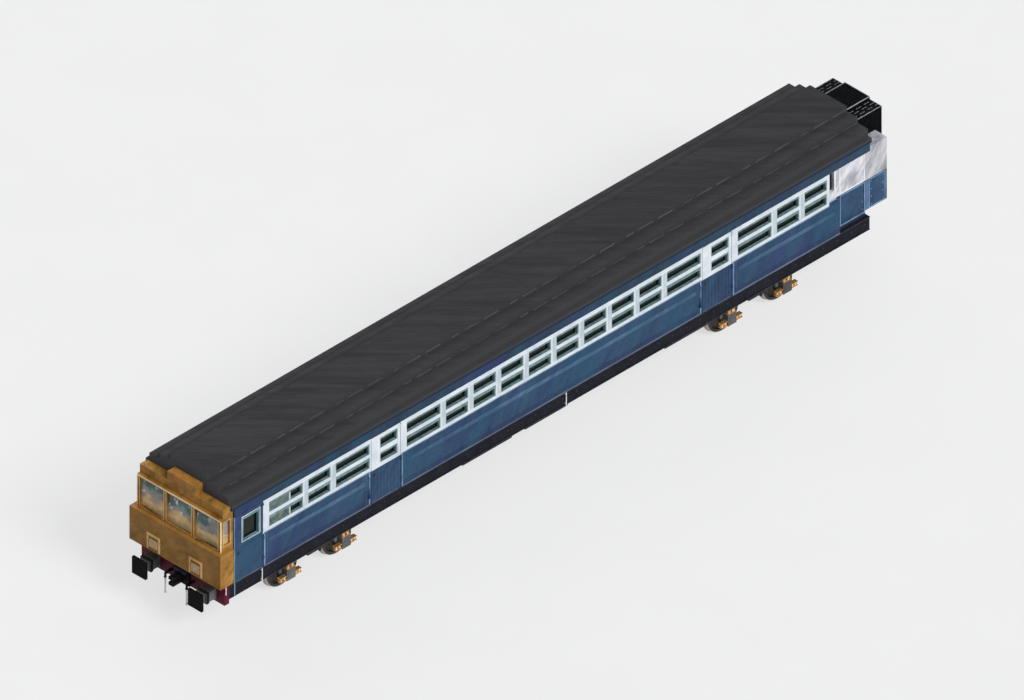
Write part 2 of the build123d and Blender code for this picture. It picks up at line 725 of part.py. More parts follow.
def end_nodes():
    """End wall, gangway door, corner boxes and bellows."""
    save("end_wall", end_wall_shape() + gangway_hinges(jamb_knuckle))

    face = X_END + END_WALL
    half = DOORWAY_HALF - DOOR_GAP
    door = block(
        face - GANGWAY_DOOR, face, -half, half, DOOR_FOOT, DOORWAY_TOP - DOOR_GAP
    )
    save("gangway_door", door + gangway_hinges(leaf_knuckle))

    rear = X_END - CORNER_BOX_REACH
    box = block(rear, X_END, CORNER_BOX_INNER, HALF_END, CORNER_BOX_FOOT, CORNER_BOX_TOP)
    box -= block(
        rear + THIN_WALL, X_END + 1, CORNER_BOX_INNER + THIN_WALL, HALF_END - THIN_WALL,
        CORNER_BOX_FOOT + THIN_WALL, CORNER_BOX_TOP - THIN_WALL,
    )
    save("corner_boxes", both(box))

    bellows = block(X_GANGWAY, X_END, -BELLOWS_HALF, BELLOWS_HALF, BELLOWS_BOTTOM, BELLOWS_TOP)
    bellows += block(
        X_GANGWAY, X_END, -BELLOWS_PLATE_HALF, BELLOWS_PLATE_HALF,
        BELLOWS_TOP, BELLOWS_TOP + BELLOWS_PLATE,
    )
    half = BELLOWS_HALF - BELLOWS_WALL
    bellows -= block(
        X_GANGWAY - 1, X_END + 1, -half, half,
        BELLOWS_BOTTOM + BELLOWS_WALL, BELLOWS_TOP - BELLOWS_WALL,
    )
    save("gangway_bellows", bellows)


vestibule_node()
end_nodes()


# -------------------------------------------------------------------- underframe
X_BEAM = X_NOSE - HEADSTOCK_SETBACK
X_BEAM_BACK = X_BEAM - HEADSTOCK_DEPTH
FLOOR_FOOT = FLOOR_TOP - FLOOR_THICKNESS


def solebar_node():
    """Outward-facing channels along both sides of the underframe."""
    web = block(
        X_END, X_BEAM_BACK, SOLEBAR_WEB_OUTER - SOLEBAR_WEB, SOLEBAR_WEB_OUTER,
        SOLEBAR_BOTTOM, FLOOR_TOP,
    )
    top = FLOOR_TOP - SOLEBAR_FLANGE
    web += block(X_END, X_BEAM_BACK, SOLEBAR_INNER, HALF_BODY, top, FLOOR_TOP)
    foot = SOLEBAR_BOTTOM + SOLEBAR_FLANGE
    web += block(X_END, X_BEAM_BACK, SOLEBAR_INNER, HALF_BODY, SOLEBAR_BOTTOM, foot)
    save("solebars", both(web))


def headstock_node():
    """Front buffer beam with its corner posts, and the beam under the gangway."""
    front = block(
        X_BEAM - HEADSTOCK_PLATE, X_BEAM, -HALF_BODY, HALF_BODY, HEADSTOCK_BOTTOM, NOSE_BOTTOM
    )
    front += pair(X_BEAM_BACK, X_BEAM, SOLEBAR_INNER, HALF_BODY, HEADSTOCK_BOTTOM, NOSE_BOTTOM)
    rear = block(
        X_END, X_END + REAR_BEAM_DEPTH, -SOLEBAR_INNER, SOLEBAR_INNER, SOLEBAR_BOTTOM, FLOOR_FOOT
    )
    save("headstocks", [front, rear])


def underframe_node():
    """Floor plate on two centre sills, with a socket over each bogie."""
    front = X_BEAM - HEADSTOCK_PLATE
    frame = block(X_END, front, -SOLEBAR_INNER, SOLEBAR_INNER, FLOOR_FOOT, FLOOR_TOP)
    sills = pair(
        X_END + REAR_BEAM_DEPTH, front, SILL_INNER, SILL_INNER + SILL_WIDTH,
        SILL_BOTTOM, FLOOR_FOOT,
    )
    frame += sills
    reach = SOLEBAR_WEB_OUTER - SOLEBAR_WEB
    for setback in CROSS_BEAM_SETBACKS:
        x = X_NOSE - setback
        frame += block(x, x + CROSS_BEAM, -reach, reach, SILL_BOTTOM, FLOOR_FOOT)
    for x in PIVOT_X:
        height = FLOOR_FOOT - CENTRE_BOSS_BOTTOM
        frame += upright(CENTRE_BOSS_RADIUS, height, x, 0, CENTRE_BOSS_BOTTOM)
    for x in PIVOT_X:
        bore = PIVOT_HEIGHT + PIVOT_END_GAP
        frame -= upright(PIVOT_RADIUS + PIN_CLEARANCE, bore, x, 0, CENTRE_BOSS_BOTTOM - STACK_GAP)
    save("underframe", frame)


def buffer_block(x0, x1, width, tall):
    """Left-hand buffer part between two stations, centred on the buffer's axis."""
    return block(
        x0, x1, BUFFER_SPREAD - width / 2, BUFFER_SPREAD + width / 2,
        BUFFER_HEIGHT - tall / 2, BUFFER_HEIGHT + tall / 2,
    )


def buffer_nodes():
    """Stepped buffer housings on the beam, and the buffer heads on their shanks."""
    foot = X_BEAM + FOOT_THICKNESS
    collar = foot + HOUSING_LENGTH
    mouth = collar + COLLAR_LENGTH
    housing = buffer_block(X_BEAM, foot, FOOT_WIDTH, FOOT_TALL)
    housing += buffer_block(foot, collar, HOUSING_WIDTH, HOUSING_TALL)
    housing += buffer_block(collar, mouth, COLLAR_WIDTH, COLLAR_TALL)
    save("buffer_housings", both(housing))
    plate = X_BUFFER - BUFFER_PLATE
    head = buffer_block(plate, X_BUFFER, BUFFER_WIDTH, BUFFER_TALL)
    head += buffer_block(mouth, plate, BUFFER_SHANK, BUFFER_SHANK)
    save("buffer_heads", both(head))


def coupling_node():
    """Coupler jaw on its face plate, and the bar coupler under the gangway."""
    face = X_BEAM + JAW_PLATE
    low = JAW_HEIGHT - JAW_PLATE_TALL / 2
    jaw = block(X_BEAM, face, -JAW_PLATE_HALF, JAW_PLATE_HALF, low, low + JAW_PLATE_TALL)
    half = JAW_WIDTH / 2
    tall = JAW_TALL / 2
    tip = face + JAW_REACH
    jaw += block(face, tip, -half, half, JAW_HEIGHT - tall, JAW_HEIGHT + tall)
    slot = JAW_SLOT / 2
    back = tip - JAW_SLOT_DEPTH
    jaw -= block(back, tip + 1, -half - 1, half + 1, JAW_HEIGHT - slot, JAW_HEIGHT + slot)
    eye = tip - JAW_WIDTH / 2
    jaw -= upright(JAW_EYE_RADIUS, 2 * JAW_TALL, eye, 0, JAW_HEIGHT - JAW_TALL)
    half = COUPLER_SIZE / 2
    bar = block(
        X_GANGWAY, X_END, -half, half, COUPLER_HEIGHT - half, COUPLER_HEIGHT + half
    )
    bar -= upright(
        COUPLER_EYE_RADIUS, 2 * COUPLER_SIZE, X_GANGWAY + COUPLER_SIZE, 0,
        COUPLER_HEIGHT - COUPLER_SIZE,
    )
    save("couplings", [jaw, bar])


def underfloor_nodes():
    """Two flat engines and the boxes that hang beside and between them."""
    engines = []
    for setback in ENGINE_SETBACKS:
        front = X_NOSE - setback
        rear = front - ENGINE_LENGTH
        half = HALF_BODY - ENGINE_INSET
        top = ENGINE_BOTTOM + ENGINE_HEIGHT
        engine = block(rear, front, -half, half, ENGINE_BOTTOM, top)
        for x in (front - ENGINE_HANGER, rear):
            engine += block(x, x + ENGINE_HANGER, -SILL_INNER, SILL_INNER, top, FLOOR_FOOT)
        engines.append(engine)
    save("engines", engines)

    boxes = []
    outer = SOLEBAR_INNER - BOX_TO_SOLEBAR
    inner = outer - BOX_WIDTH
    for setback, length, sides in BOX_PLACES:
        front = X_NOSE - setback
        box = block(front - length, front, inner, outer, BOX_BOTTOM, FLOOR_FOOT)
        boxes += [shape for side, shape in zip("LR", both(box)) if side in sides]
    save("underfloor_boxes", boxes)


solebar_node()
headstock_node()
underframe_node()
buffer_nodes()
coupling_node()
underfloor_nodes()


# ------------------------------------------------------------------ running gear
def bogie_frame(x):
    """Two side frames with pedestals, joined by the bolster and its centre pin."""
    outer = SIDE_FRAME_INNER + SIDE_FRAME_THICKNESS
    half_box = AXLEBOX_WIDTH / 2
    side = block(
        x - BOGIE_HALF_LENGTH, x + BOGIE_HALF_LENGTH, SIDE_FRAME_INNER, outer,
        SIDE_FRAME_BAR, SIDE_FRAME_TOP,
    )
    side += block(
        x - BOLSTER_HALF, x + BOLSTER_HALF, SIDE_FRAME_INNER, outer,
        SIDE_FRAME_BOTTOM, SIDE_FRAME_BAR,
    )
    for axle in (x - WHEELBASE / 2, x + WHEELBASE / 2):
        for near in (axle - half_box - PEDESTAL_LEG, axle + half_box):
            side += block(
                near, near + PEDESTAL_LEG, SIDE_FRAME_INNER, outer,
                PEDESTAL_BOTTOM, SIDE_FRAME_BAR,
            )
    frame = block(
        x - BOLSTER_HALF, x + BOLSTER_HALF, -SIDE_FRAME_INNER, SIDE_FRAME_INNER,
        BOLSTER_BOTTOM, BOLSTER_TOP,
    )
    frame += both(side)
    plate = CENTRE_BOSS_BOTTOM - STACK_GAP - BOLSTER_TOP
    frame += upright(PIVOT_PLATE_RADIUS, plate, x, 0, BOLSTER_TOP)
    frame += upright(PIVOT_RADIUS, plate + PIVOT_HEIGHT, x, 0, BOLSTER_TOP)
    return frame


def axle_gear(x):
    """Left-hand axlebox, damper, spring housings and wheelset of one axle."""
    outer = SIDE_FRAME_INNER + SIDE_FRAME_THICKNESS
    half = AXLEBOX_WIDTH / 2
    low = WHEEL_RADIUS - AXLEBOX_HEIGHT / 2
    high = WHEEL_RADIUS + AXLEBOX_HEIGHT / 2
    box = block(x - half, x + half, SIDE_FRAME_INNER, AXLEBOX_OUTER, low, high)
    depth = AXLEBOX_OUTER - AXLEBOX_END_COVER - SIDE_FRAME_INNER
    middle = SIDE_FRAME_INNER + depth / 2
    box -= across(JOURNAL_RADIUS + PIN_CLEARANCE, depth, x, middle, WHEEL_RADIUS)
    near = x + half + DAMPER_OFFSET
    damper = block(
        near, near + DAMPER_WIDTH, outer, outer + DAMPER_WIDTH, DAMPER_BOTTOM, SIDE_FRAME_TOP
    )
    springs = [
        block(
            x - SPRING_WIDTH / 2, x + SPRING_WIDTH / 2, outer, outer + SPRING_DEPTH,
            high, high + SPRING_HEIGHT,
        )
    ]
    foot = low + SIDE_SPRING_LIFT
    for near in (x - half - SIDE_SPRING_WIDTH, x + half):
        springs.append(
            block(
                near, near + SIDE_SPRING_WIDTH, outer, outer + SPRING_DEPTH,
                foot, foot + SIDE_SPRING_HEIGHT,
            )
        )
    return [box, damper], springs


def wheelset(x):
    """Axle with its two flanged wheels, turned as one piece."""
    back = WHEEL_BACK_TO_BACK / 2
    face = back + TREAD_WIDTH
    web = back + (TREAD_WIDTH - WHEEL_WEB) / 2
    rim = WHEEL_RADIUS - RIM_DEPTH
    flange = WHEEL_RADIUS + FLANGE_DEPTH
    end = AXLEBOX_OUTER - AXLEBOX_END_COVER - STACK_GAP
    half = [
        (back - HUB_OVERHANG, AXLE_RADIUS),
        (back - HUB_OVERHANG, HUB_RADIUS),
        (web, HUB_RADIUS),
        (web, rim),
        (back, rim),
        (back, flange - FLANGE_BEVEL),
        (back + FLANGE_BEVEL, flange),
        (back + WHEEL_FLANGE - FLANGE_BEVEL, flange),
        (back + WHEEL_FLANGE, WHEEL_RADIUS),
        (face, WHEEL_RADIUS),
        (face, rim),
        (web + WHEEL_WEB, rim),
        (web + WHEEL_WEB, HUB_RADIUS),
        (face + HUB_OVERHANG, HUB_RADIUS),
        (face + HUB_OVERHANG, AXLE_RADIUS),
        (face + HUB_OVERHANG + AXLE_COLLAR, AXLE_RADIUS),
        (face + HUB_OVERHANG + AXLE_COLLAR, JOURNAL_RADIUS),
        (end, JOURNAL_RADIUS),
        (end, 0),
    ]
    points = [(-y, radius) for y, radius in reversed(half)] + half
    profile = make_face(Polyline(*points, close=True))
    turned = revolve(profile, Axis.X)
    return Pos(x, 0, AXLE_Z) * Rot(0, 0, 90) * turned


def running_gear():
    """Both bogies with their axle gear, and the four wheelsets."""
    for bogie, x in zip(("front", "rear"), PIVOT_X):
        save(f"bogie_frame_{bogie}", bogie_frame(x))
        boxes = []
        springs = []
        for axle in (x + WHEELBASE / 2, x - WHEELBASE / 2):
            left_boxes, left_springs = axle_gear(axle)
            for box in left_boxes:
                boxes += both(box)
            for spring in left_springs:
                springs += both(spring)
        save(f"axleboxes_{bogie}", boxes)
        save(f"springs_{bogie}", springs)
        save(f"wheelset_{bogie}_leading", wheelset(x + WHEELBASE / 2))
        save(f"wheelset_{bogie}_trailing", wheelset(x - WHEELBASE / 2))


running_gear()
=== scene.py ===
"""Looks of the driving car of a diesel multiple unit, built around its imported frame."""
import math

import bmesh
import bpy
from mathutils import Matrix, Vector


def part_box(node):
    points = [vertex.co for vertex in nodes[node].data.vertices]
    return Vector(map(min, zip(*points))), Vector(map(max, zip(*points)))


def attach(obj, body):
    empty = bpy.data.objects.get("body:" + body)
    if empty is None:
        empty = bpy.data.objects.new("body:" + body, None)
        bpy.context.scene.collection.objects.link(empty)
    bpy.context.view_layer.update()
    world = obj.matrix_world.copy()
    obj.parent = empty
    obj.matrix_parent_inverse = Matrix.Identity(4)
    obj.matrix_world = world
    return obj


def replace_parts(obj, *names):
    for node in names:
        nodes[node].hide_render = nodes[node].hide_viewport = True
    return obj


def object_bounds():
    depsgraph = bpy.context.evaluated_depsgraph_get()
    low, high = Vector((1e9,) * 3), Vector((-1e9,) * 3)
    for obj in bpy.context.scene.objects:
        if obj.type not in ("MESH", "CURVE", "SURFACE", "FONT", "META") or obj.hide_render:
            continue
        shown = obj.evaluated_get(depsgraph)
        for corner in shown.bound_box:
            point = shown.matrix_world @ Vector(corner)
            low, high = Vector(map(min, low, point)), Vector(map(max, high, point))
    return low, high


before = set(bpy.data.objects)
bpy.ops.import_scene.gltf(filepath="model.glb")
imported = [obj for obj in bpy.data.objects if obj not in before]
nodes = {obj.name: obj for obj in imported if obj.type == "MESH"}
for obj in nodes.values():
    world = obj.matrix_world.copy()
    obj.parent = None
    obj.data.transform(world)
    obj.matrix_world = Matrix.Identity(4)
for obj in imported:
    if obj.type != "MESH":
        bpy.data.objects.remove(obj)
cad_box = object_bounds()

# ------------------------------------------------------------------ camera
AZIMUTH = math.radians(135)
ELEVATION = math.radians(35.264)
VIEW_WIDTH = 22.0
CAMERA_DISTANCE = 45.0

middle = (cad_box[0] + cad_box[1]) / 2
back = Vector((
    math.sin(AZIMUTH) * math.cos(ELEVATION),
    -math.cos(AZIMUTH) * math.cos(ELEVATION),
    math.sin(ELEVATION),
))
camera_data = bpy.data.cameras.new("camera")
camera_data.type = "ORTHO"
camera_data.ortho_scale = VIEW_WIDTH
camera_data.clip_end = 200.0
camera = bpy.data.objects.new("camera", camera_data)
camera.location = middle + back * CAMERA_DISTANCE
camera.rotation_euler = back.to_track_quat("Z", "Y").to_euler()
bpy.context.scene.collection.objects.link(camera)
bpy.context.scene.camera = camera
bpy.context.scene.view_settings.view_transform = "Standard"


# --------------------------------------------------------------- materials
def rgb(red, green, blue):
    """A colour given in 0-255 display values, as the linear colour a shader takes."""
    linear = []
    for value in (red, green, blue):
        part = value / 255
        linear.append(part / 12.92 if part <= 0.04045 else ((part + 0.055) / 1.055) ** 2.4)
    return (*linear, 1.0)


def raised(colour, by=14):
    """The same colour, lighter by so many display levels."""
    return [min(255, part + by) for part in colour]


class Finish:
    """One procedural material. Its methods add a node each and return an output."""

    def __init__(self, name, roughness=0.5, metallic=0.0, **sockets):
        self.material = bpy.data.materials.new(name)
        self.material.use_nodes = True
        self.tree = self.material.node_tree
        self.shader = self.tree.nodes["Principled BSDF"]
        self.shader.inputs["Roughness"].default_value = roughness
        self.shader.inputs["Metallic"].default_value = metallic
        for socket, value in sockets.items():
            self.shader.inputs[socket.replace("_", " ")].default_value = value
        coordinates = self.tree.nodes.new("ShaderNodeTexCoord")
        self.place = coordinates.outputs["Object"]
        self.facing = coordinates.outputs["Normal"]
        self.axes = {}

    def add(self, kind, inputs, output=0, **settings):
        node = self.tree.nodes.new("ShaderNode" + kind)
        for key, value in settings.items():
            setattr(node, key, value)
        for key, value in inputs.items():
            if isinstance(value, bpy.types.NodeSocket):
                self.tree.links.new(value, node.inputs[key])
            else:
                node.inputs[key].default_value = value
        return node.outputs[output]

    def axis(self, letter, source="place"):
        """X, Y or Z of the place on the object, or of the way the surface faces."""
        if source not in self.axes:
            split = self.tree.nodes.new("ShaderNodeSeparateXYZ")
            self.tree.links.new(getattr(self, source), split.inputs[0])
            self.axes[source] = split
        return self.axes[source].outputs[letter]

    def maths(self, operation, first, second=0.0, third=0.0):
        inputs = {0: first, 1: second, 2: third}
        return self.add("Math", inputs, operation=operation)

    def times(self, first, second):
        return self.maths("MULTIPLY", first, second)

    def weighed(self, value, weight, other):
        """The value times its weight, plus the other."""
        return self.maths("MULTIPLY_ADD", value, weight, other)

    def band(self, value, low, high, soft):
        """1 where the value lies between low and high, 0 elsewhere."""
        rise = self.scale(value, low - soft, low)
        fall = self.scale(value, high, high + soft)
        return self.maths("SUBTRACT", rise, fall)

    def scale(self, value, low, high, out_low=0.0, out_high=1.0):
        inputs = {"Value": value, "From Min": low, "From Max": high,
                  "To Min": out_low, "To Max": out_high}
        return self.add("MapRange", inputs)

    def mapped(self, stretch=(1, 1, 1), turn=(0, 0, 0)):
        angles = [math.radians(angle) for angle in turn]
        size = [1 / part for part in stretch]
        inputs = {"Vector": self.place, "Scale": size, "Rotation": angles}
        return self.add("Mapping", inputs, vector_type="TEXTURE")

    def noise(self, scale, detail=3.0, roughness=0.55, stretch=(1, 1, 1), turn=(0, 0, 0)):
        inputs = {"Vector": self.mapped(stretch, turn), "Scale": scale, "Detail": detail,
                  "Roughness": roughness}
        return self.add("TexNoise", inputs)

    def ramp(self, value, *stops):
        node = self.tree.nodes.new("ShaderNodeValToRGB")
        self.tree.links.new(value, node.inputs[0])
        elements = node.color_ramp.elements
        while len(elements) < len(stops):
            elements.new(0.5)
        for element, (position, colour) in zip(elements, stops):
            element.position = position
            element.color = rgb(*colour)
        return node.outputs[0]

    def mix(self, amount, first, second):
        first, second = (rgb(*part) if isinstance(part, tuple) else part
                         for part in (first, second))
        return self.add("Mix", {0: amount, 6: first, 7: second}, output=2, data_type="RGBA")

    def bump(self, height, depth, strength=1.0):
        inputs = {"Height": height, "Distance": depth, "Strength": strength}
        return self.add("Bump", inputs)

    def grain(self, scale, detail, depth, strength):
        """A fine even relief."""
        return self.bump(self.noise(scale, detail), depth, strength)

    def squarely(self, letter, *limits):
        """How squarely a face looks along an axis, either way."""
        return self.scale(self.maths("ABSOLUTE", self.axis(letter, "facing")), *limits)

    def wire(self, **links):
        """Connects outputs to the shader and gives back the material."""
        for socket, value in links.items():
            self.tree.links.new(value, self.shader.inputs[socket.replace("_", " ")])
        return self.material


def painted(name, dark, mid, light, roughness=0.46, streak=(1, 1, 1), turn=(0, 0, 0),
            patch=1.6, grime=0.35, dirt=(52, 46, 40)):
    """Old gloss paint: patchy colour, streaks, road dirt low down and a faint texture."""
    paint = Finish(name, roughness, Specular_IOR_Level=0.14)
    patches = paint.noise(patch, 5.0, 0.6)
    streaks = paint.noise(2.4, 6.0, 0.65, streak, turn)
    both = paint.weighed(streaks, 0.55, paint.times(patches, 0.45))
    colour = paint.ramp(both, (0.36, dark), (0.5, mid), (0.64, light))
    low = paint.scale(paint.axis("Z"), 1.75, 0.85, 0.0, 1.0)
    spots = paint.scale(paint.noise(9.0, 6.0, 0.7), 0.46, 0.72)
    amount = paint.times(paint.weighed(low, 0.8, 0.2), spots)
    amount = paint.times(amount, grime)
    colour = paint.mix(amount, colour, dirt)
    rough = paint.scale(spots, 0.0, 1.0, roughness - 0.06, roughness + 0.22)
    fine = paint.noise(90.0, 2.0)
    normal = paint.bump(paint.weighed(patches, 1.5, fine), 0.0012, 0.5)
    return paint, colour, rough, normal


def yellow(name, dark=(130, 90, 36), mid=(175, 128, 60), light=(196, 146, 76), soiling_and_front_shade=0.5):
    """Ochre paint, browner on the faces that look forward: painted shade there, partly road
    film.
    """
    paint, colour, rough, normal = painted(
        name, dark, mid, light, streak=(1.0, 1.0, 1.4), turn=(38, 25, 20), patch=1.3,
        dirt=(88, 58, 26))
    slant = paint.noise(3.4, 6.0, 0.68, (0.7, 0.7, 2.6), (38, 30, 15))
    rusty = paint.times(paint.scale(slant, 0.52, 0.64), min(0.6, soiling_and_front_shade + 0.1))
    olive = paint.times(paint.scale(slant, 0.47, 0.36), min(0.6, soiling_and_front_shade + 0.05))
    # Painted shade: the faces that look forward are browned, more so low down, partly as road
    # film.
    front_shade_and_film = paint.scale(paint.axis("X", "facing"), 0.5, 0.95, 0.0, soiling_and_front_shade)
    front_shade_and_film = paint.times(front_shade_and_film, paint.scale(paint.axis("Z"), 3.1, 2.4, 0.1, 1.0))
    smears = paint.noise(3.2, 5.0, 0.7, (1.0, 1.0, 1.5), (38, 25, 20))
    film = paint.scale(smears, 0.3, 0.6, 0.6, 1.0)
    colour = paint.mix(paint.times(front_shade_and_film, film), colour, (102, 74, 24))
    colour = paint.mix(rusty, colour, (176, 104, 40))
    colour = paint.mix(olive, colour, (108, 88, 36))
    return paint.wire(Base_Color=colour, Roughness=rough, Normal=normal)


BODY_BLUES = (34, 56, 88), (44, 72, 102), (56, 86, 116)
SLANT = (0, -36, 0)            # weather streaks lean back along the sides
BODY_STREAKS = {"streak": (1.6, 1.0, 0.35), "turn": SLANT, "patch": 0.8, "grime": 0.5}


def blue(name, *tones):
    """Blue body paint that drifts to teal and violet."""
    paint, colour, rough, normal = painted(name, *(tones or BODY_BLUES), **BODY_STREAKS)
    tint = paint.noise(0.9, 3.0, 0.6, (1.4, 1, 0.4), SLANT)
    teal = paint.scale(tint, 0.5, 0.62, 0.0, 0.45)
    violet = paint.scale(tint, 0.46, 0.36, 0.0, 0.4)
    colour = paint.mix(teal, colour, (34, 82, 108))
    colour = paint.mix(violet, colour, (50, 58, 116))
    return paint.wire(Base_Color=colour, Roughness=rough, Normal=normal)


def shaded_reveals(paint, colour):
    """Painted shade in the window openings: pale green on the faces that look along the car,
    and darker on the sills that look up.
    """
    colour = paint.mix(paint.squarely("Y", 0.8, 0.4, 0.0, 0.8), colour, (172, 208, 206))
    upward = paint.scale(paint.axis("Z", "facing"), 0.4, 0.8, 0.0, 0.85)
    return paint.mix(upward, colour, (98, 124, 126))


def white(name):
    """White window frames, with painted shade in their openings."""
    paint, colour, rough, normal = painted(
        name, (206, 214, 224), (223, 230, 237), (236, 240, 244), grime=0.25, patch=2.5)
    return paint.wire(Base_Color=shaded_reveals(paint, colour), Roughness=rough, Normal=normal)


def aqua(name, dark, light):
    """A pale green-blue tone, used as painted shade inside the window openings."""
    paint, _, rough, normal = painted(name, dark, light, light, grime=0.2, patch=2.5)
    cloud = paint.noise(5.0, 5.0, 0.65, (2.0, 1.0, 0.6))
    colour = paint.ramp(cloud, (0.36, dark), (0.62, light))
    return paint.wire(Base_Color=colour, Roughness=rough, Normal=normal)


def marble(paint, shading):
    """Weathered pale end panels with slanting grey streaks. A shading below 1 darkens every
    tone as painted shade.
    """
    veins = paint.noise(3.0, 8.0, 0.68, (2.6, 2.0, 0.6), (0, -38, 0))
    cloud = paint.noise(1.5, 4.0)
    value = paint.weighed(veins, 0.7, paint.times(cloud, 0.3))
    tones = ((0.38, (166, 166, 176)), (0.47, (204, 204, 212)), (0.56, (234, 233, 238)),
             (0.68, (246, 246, 248)))
    return paint.ramp(value, *((place, [part * shading for part in tone])
                               for place, tone in tones))


def door_paint(name, waist):
    """A passenger door: blue below the waist, and a white window frame above it, with painted
    shade in its opening.
    """
    paint, colour, rough, normal = painted(name, *BODY_BLUES, **BODY_STREAKS)
    cloud = paint.noise(2.5, 4.0)
    frame_tone = paint.ramp(cloud, (0.35, (208, 216, 225)), (0.6, (233, 238, 243)))
    frame_tone = shaded_reveals(paint, frame_tone)
    upper = paint.scale(paint.axis("Z"), waist - 0.002, waist + 0.002)
    colour = paint.mix(upper, colour, frame_tone)
    return paint.wire(Base_Color=colour, Roughness=rough, Normal=normal)


def two_tone(name, waist, shading=1.0):
    """Pale above the waist and blue below it."""
    paint, colour, rough, normal = painted(
        name, (36, 60, 88), (48, 76, 106), (60, 92, 122), streak=(1.6, 1, 0.4), turn=SLANT)
    upper = paint.scale(paint.axis("Z"), waist - 0.004, waist + 0.004)
    colour = paint.mix(upper, colour, marble(paint, shading))
    return paint.wire(Base_Color=colour, Roughness=rough, Normal=normal)


def roofing(name, foot, crown):
    """Dark roof with slanting grain and faint seams across it, and painted light that lightens
    its ends, its step sides and its lower treads.
    """
    paint = Finish(name, 0.8, Specular_IOR_Level=0.1)
    grain = paint.noise(1.2, 7.0, 0.62, (0.3, 3.6, 1.0), (0, 0, 135))
    fine = paint.noise(9.0, 5.0, 0.7, (0.2, 2.6, 1.0), (0, 0, 135))
    value = paint.weighed(grain, 0.62, paint.times(fine, 0.38))
    colour = paint.ramp(value, (0.38, (44, 44, 46)), (0.5, (55, 55, 57)),
                        (0.6, (63, 63, 64)))
    sooty = paint.scale(paint.noise(0.3, 2.0), 0.45, 0.7, 0.0, 0.2)
    colour = paint.mix(sooty, colour, (50, 48, 48))
    along = paint.maths("PINGPONG", paint.axis("X"), 0.6)
    seam = paint.scale(along, 0.014, 0.004)
    colour = paint.mix(paint.times(seam, 0.35), colour, (40, 40, 42))
    # Painted light: the faces that look along the car are made lighter.
    colour = paint.mix(paint.squarely("X", 0.6, 0.95, 0.0, 0.8), colour, (86, 86, 88))
    height = paint.axis("Z")
    # Painted light: the treads below the crown are lighter, the lowest ones more so.
    painted_light_low = paint.weighed(paint.scale(height, crown - 0.06, crown - 0.1), 0.24,
                        paint.scale(height, crown - 0.34, crown - 0.37, 0.0, 0.4))
    colour = paint.mix(painted_light_low, colour, (76, 76, 78))
    # Painted light: the step sides that look across the car are lighter.
    colour = paint.mix(paint.squarely("Y", 0.6, 0.95, 0.0, 0.8), colour, (64, 64, 66))
    painted_edge = paint.scale(height, foot + 0.062, foot + 0.05)
    colour = paint.mix(painted_edge, colour, (36, 50, 70))
    relief = paint.maths("SUBTRACT", value, seam)
    return paint.wire(Base_Color=colour, Normal=paint.bump(relief, 0.004, 0.6))


def iron(name, colour, roughness=0.66, dust=(92, 84, 74), amount=0.3, gloss=0.12):
    """Dark painted or cast metal with dust on it and a grainy face."""
    metal = Finish(name, roughness, Specular_IOR_Level=gloss)
    spots = metal.noise(7.0, 6.0, 0.65)
    broad = metal.noise(1.3, 3.0)
    lighter = [min(255, int(part * 1.25) + 5) for part in colour]
    tone = metal.ramp(broad, (0.35, colour), (0.65, lighter))
    up = metal.scale(metal.axis("Z", "facing"), 0.2, 1.0, 0.25, 1.0)
    dusty = metal.times(metal.scale(spots, 0.45, 0.75, 0.0, amount), up)
    tone = metal.mix(dusty, tone, dust)
    rough = metal.scale(spots, 0.3, 0.7, roughness - 0.1, roughness + 0.15)
    return metal.wire(Base_Color=tone, Roughness=rough,
                      Normal=metal.grain(60.0, 4.0, 0.0015, 0.6))


def lined_iron(name, colour, edge, line):
    """The solebar: dark iron, with a painted highlight along its flange edges."""
    metal = Finish(name, 0.66, Specular_IOR_Level=0.1)
    spots = metal.noise(5.0, 6.0, 0.65)
    tone = metal.ramp(spots, (0.35, colour), (0.7, raised(colour)))
    out = metal.maths("ABSOLUTE", metal.axis("Y"))
    # Painted highlight: a light line along the outer edge of the faces that look sideways,
    # broken up by noise.
    flange_highlight = metal.scale(out, edge - 0.004, edge - 0.001)
    flange_highlight = metal.times(flange_highlight, metal.squarely("Y", 0.5, 0.9))
    highlight_breaks = metal.scale(metal.noise(14.0, 4.0), 0.35, 0.6, 0.35, 1.0)
    tone = metal.mix(metal.times(flange_highlight, highlight_breaks), tone, line)
    return metal.wire(Base_Color=tone, Normal=metal.grain(50.0, 4.0, 0.0012, 0.5))


def wheel(name, centre):
    """A wheelset: bright tread and flange, dark oily web and rusty axle."""
    metal = Finish(name, 0.5, 0.55)
    across = metal.maths("SUBTRACT", metal.axis("X"), centre.x)
    up = metal.maths("SUBTRACT", metal.axis("Z"), centre.z)
    square = metal.weighed(across, across, metal.times(up, up))
    radius = metal.maths("SQRT", square)
    spots = metal.noise(12.0, 6.0, 0.65)
    tone = metal.ramp(spots, (0.3, (46, 42, 40)), (0.6, (74, 66, 60)),
                      (0.8, (104, 82, 62)))
    tread = metal.scale(radius, 0.440, 0.449)
    tone = metal.mix(tread, tone, (168, 164, 160))
    rough = metal.scale(tread, 0.0, 1.0, 0.6, 0.28)
    return metal.wire(Base_Color=tone, Roughness=rough, Normal=metal.bump(spots, 0.002, 0.4))


def bright_metal(name, dark, light, roughness):
    metal = Finish(name, roughness, 0.7)
    spots = metal.noise(22.0, 5.0, 0.6)
    tone = metal.ramp(spots, (0.35, dark), (0.62, light))
    rough = metal.scale(spots, 0.3, 0.7, roughness + 0.15, roughness - 0.05)
    return metal.wire(Base_Color=tone, Roughness=rough,
                      Normal=metal.grain(120.0, 3.0, 0.0008, 0.5))


MILKY_PANES = 7.93, 8.70      # the first window bay behind the cab door, along the car


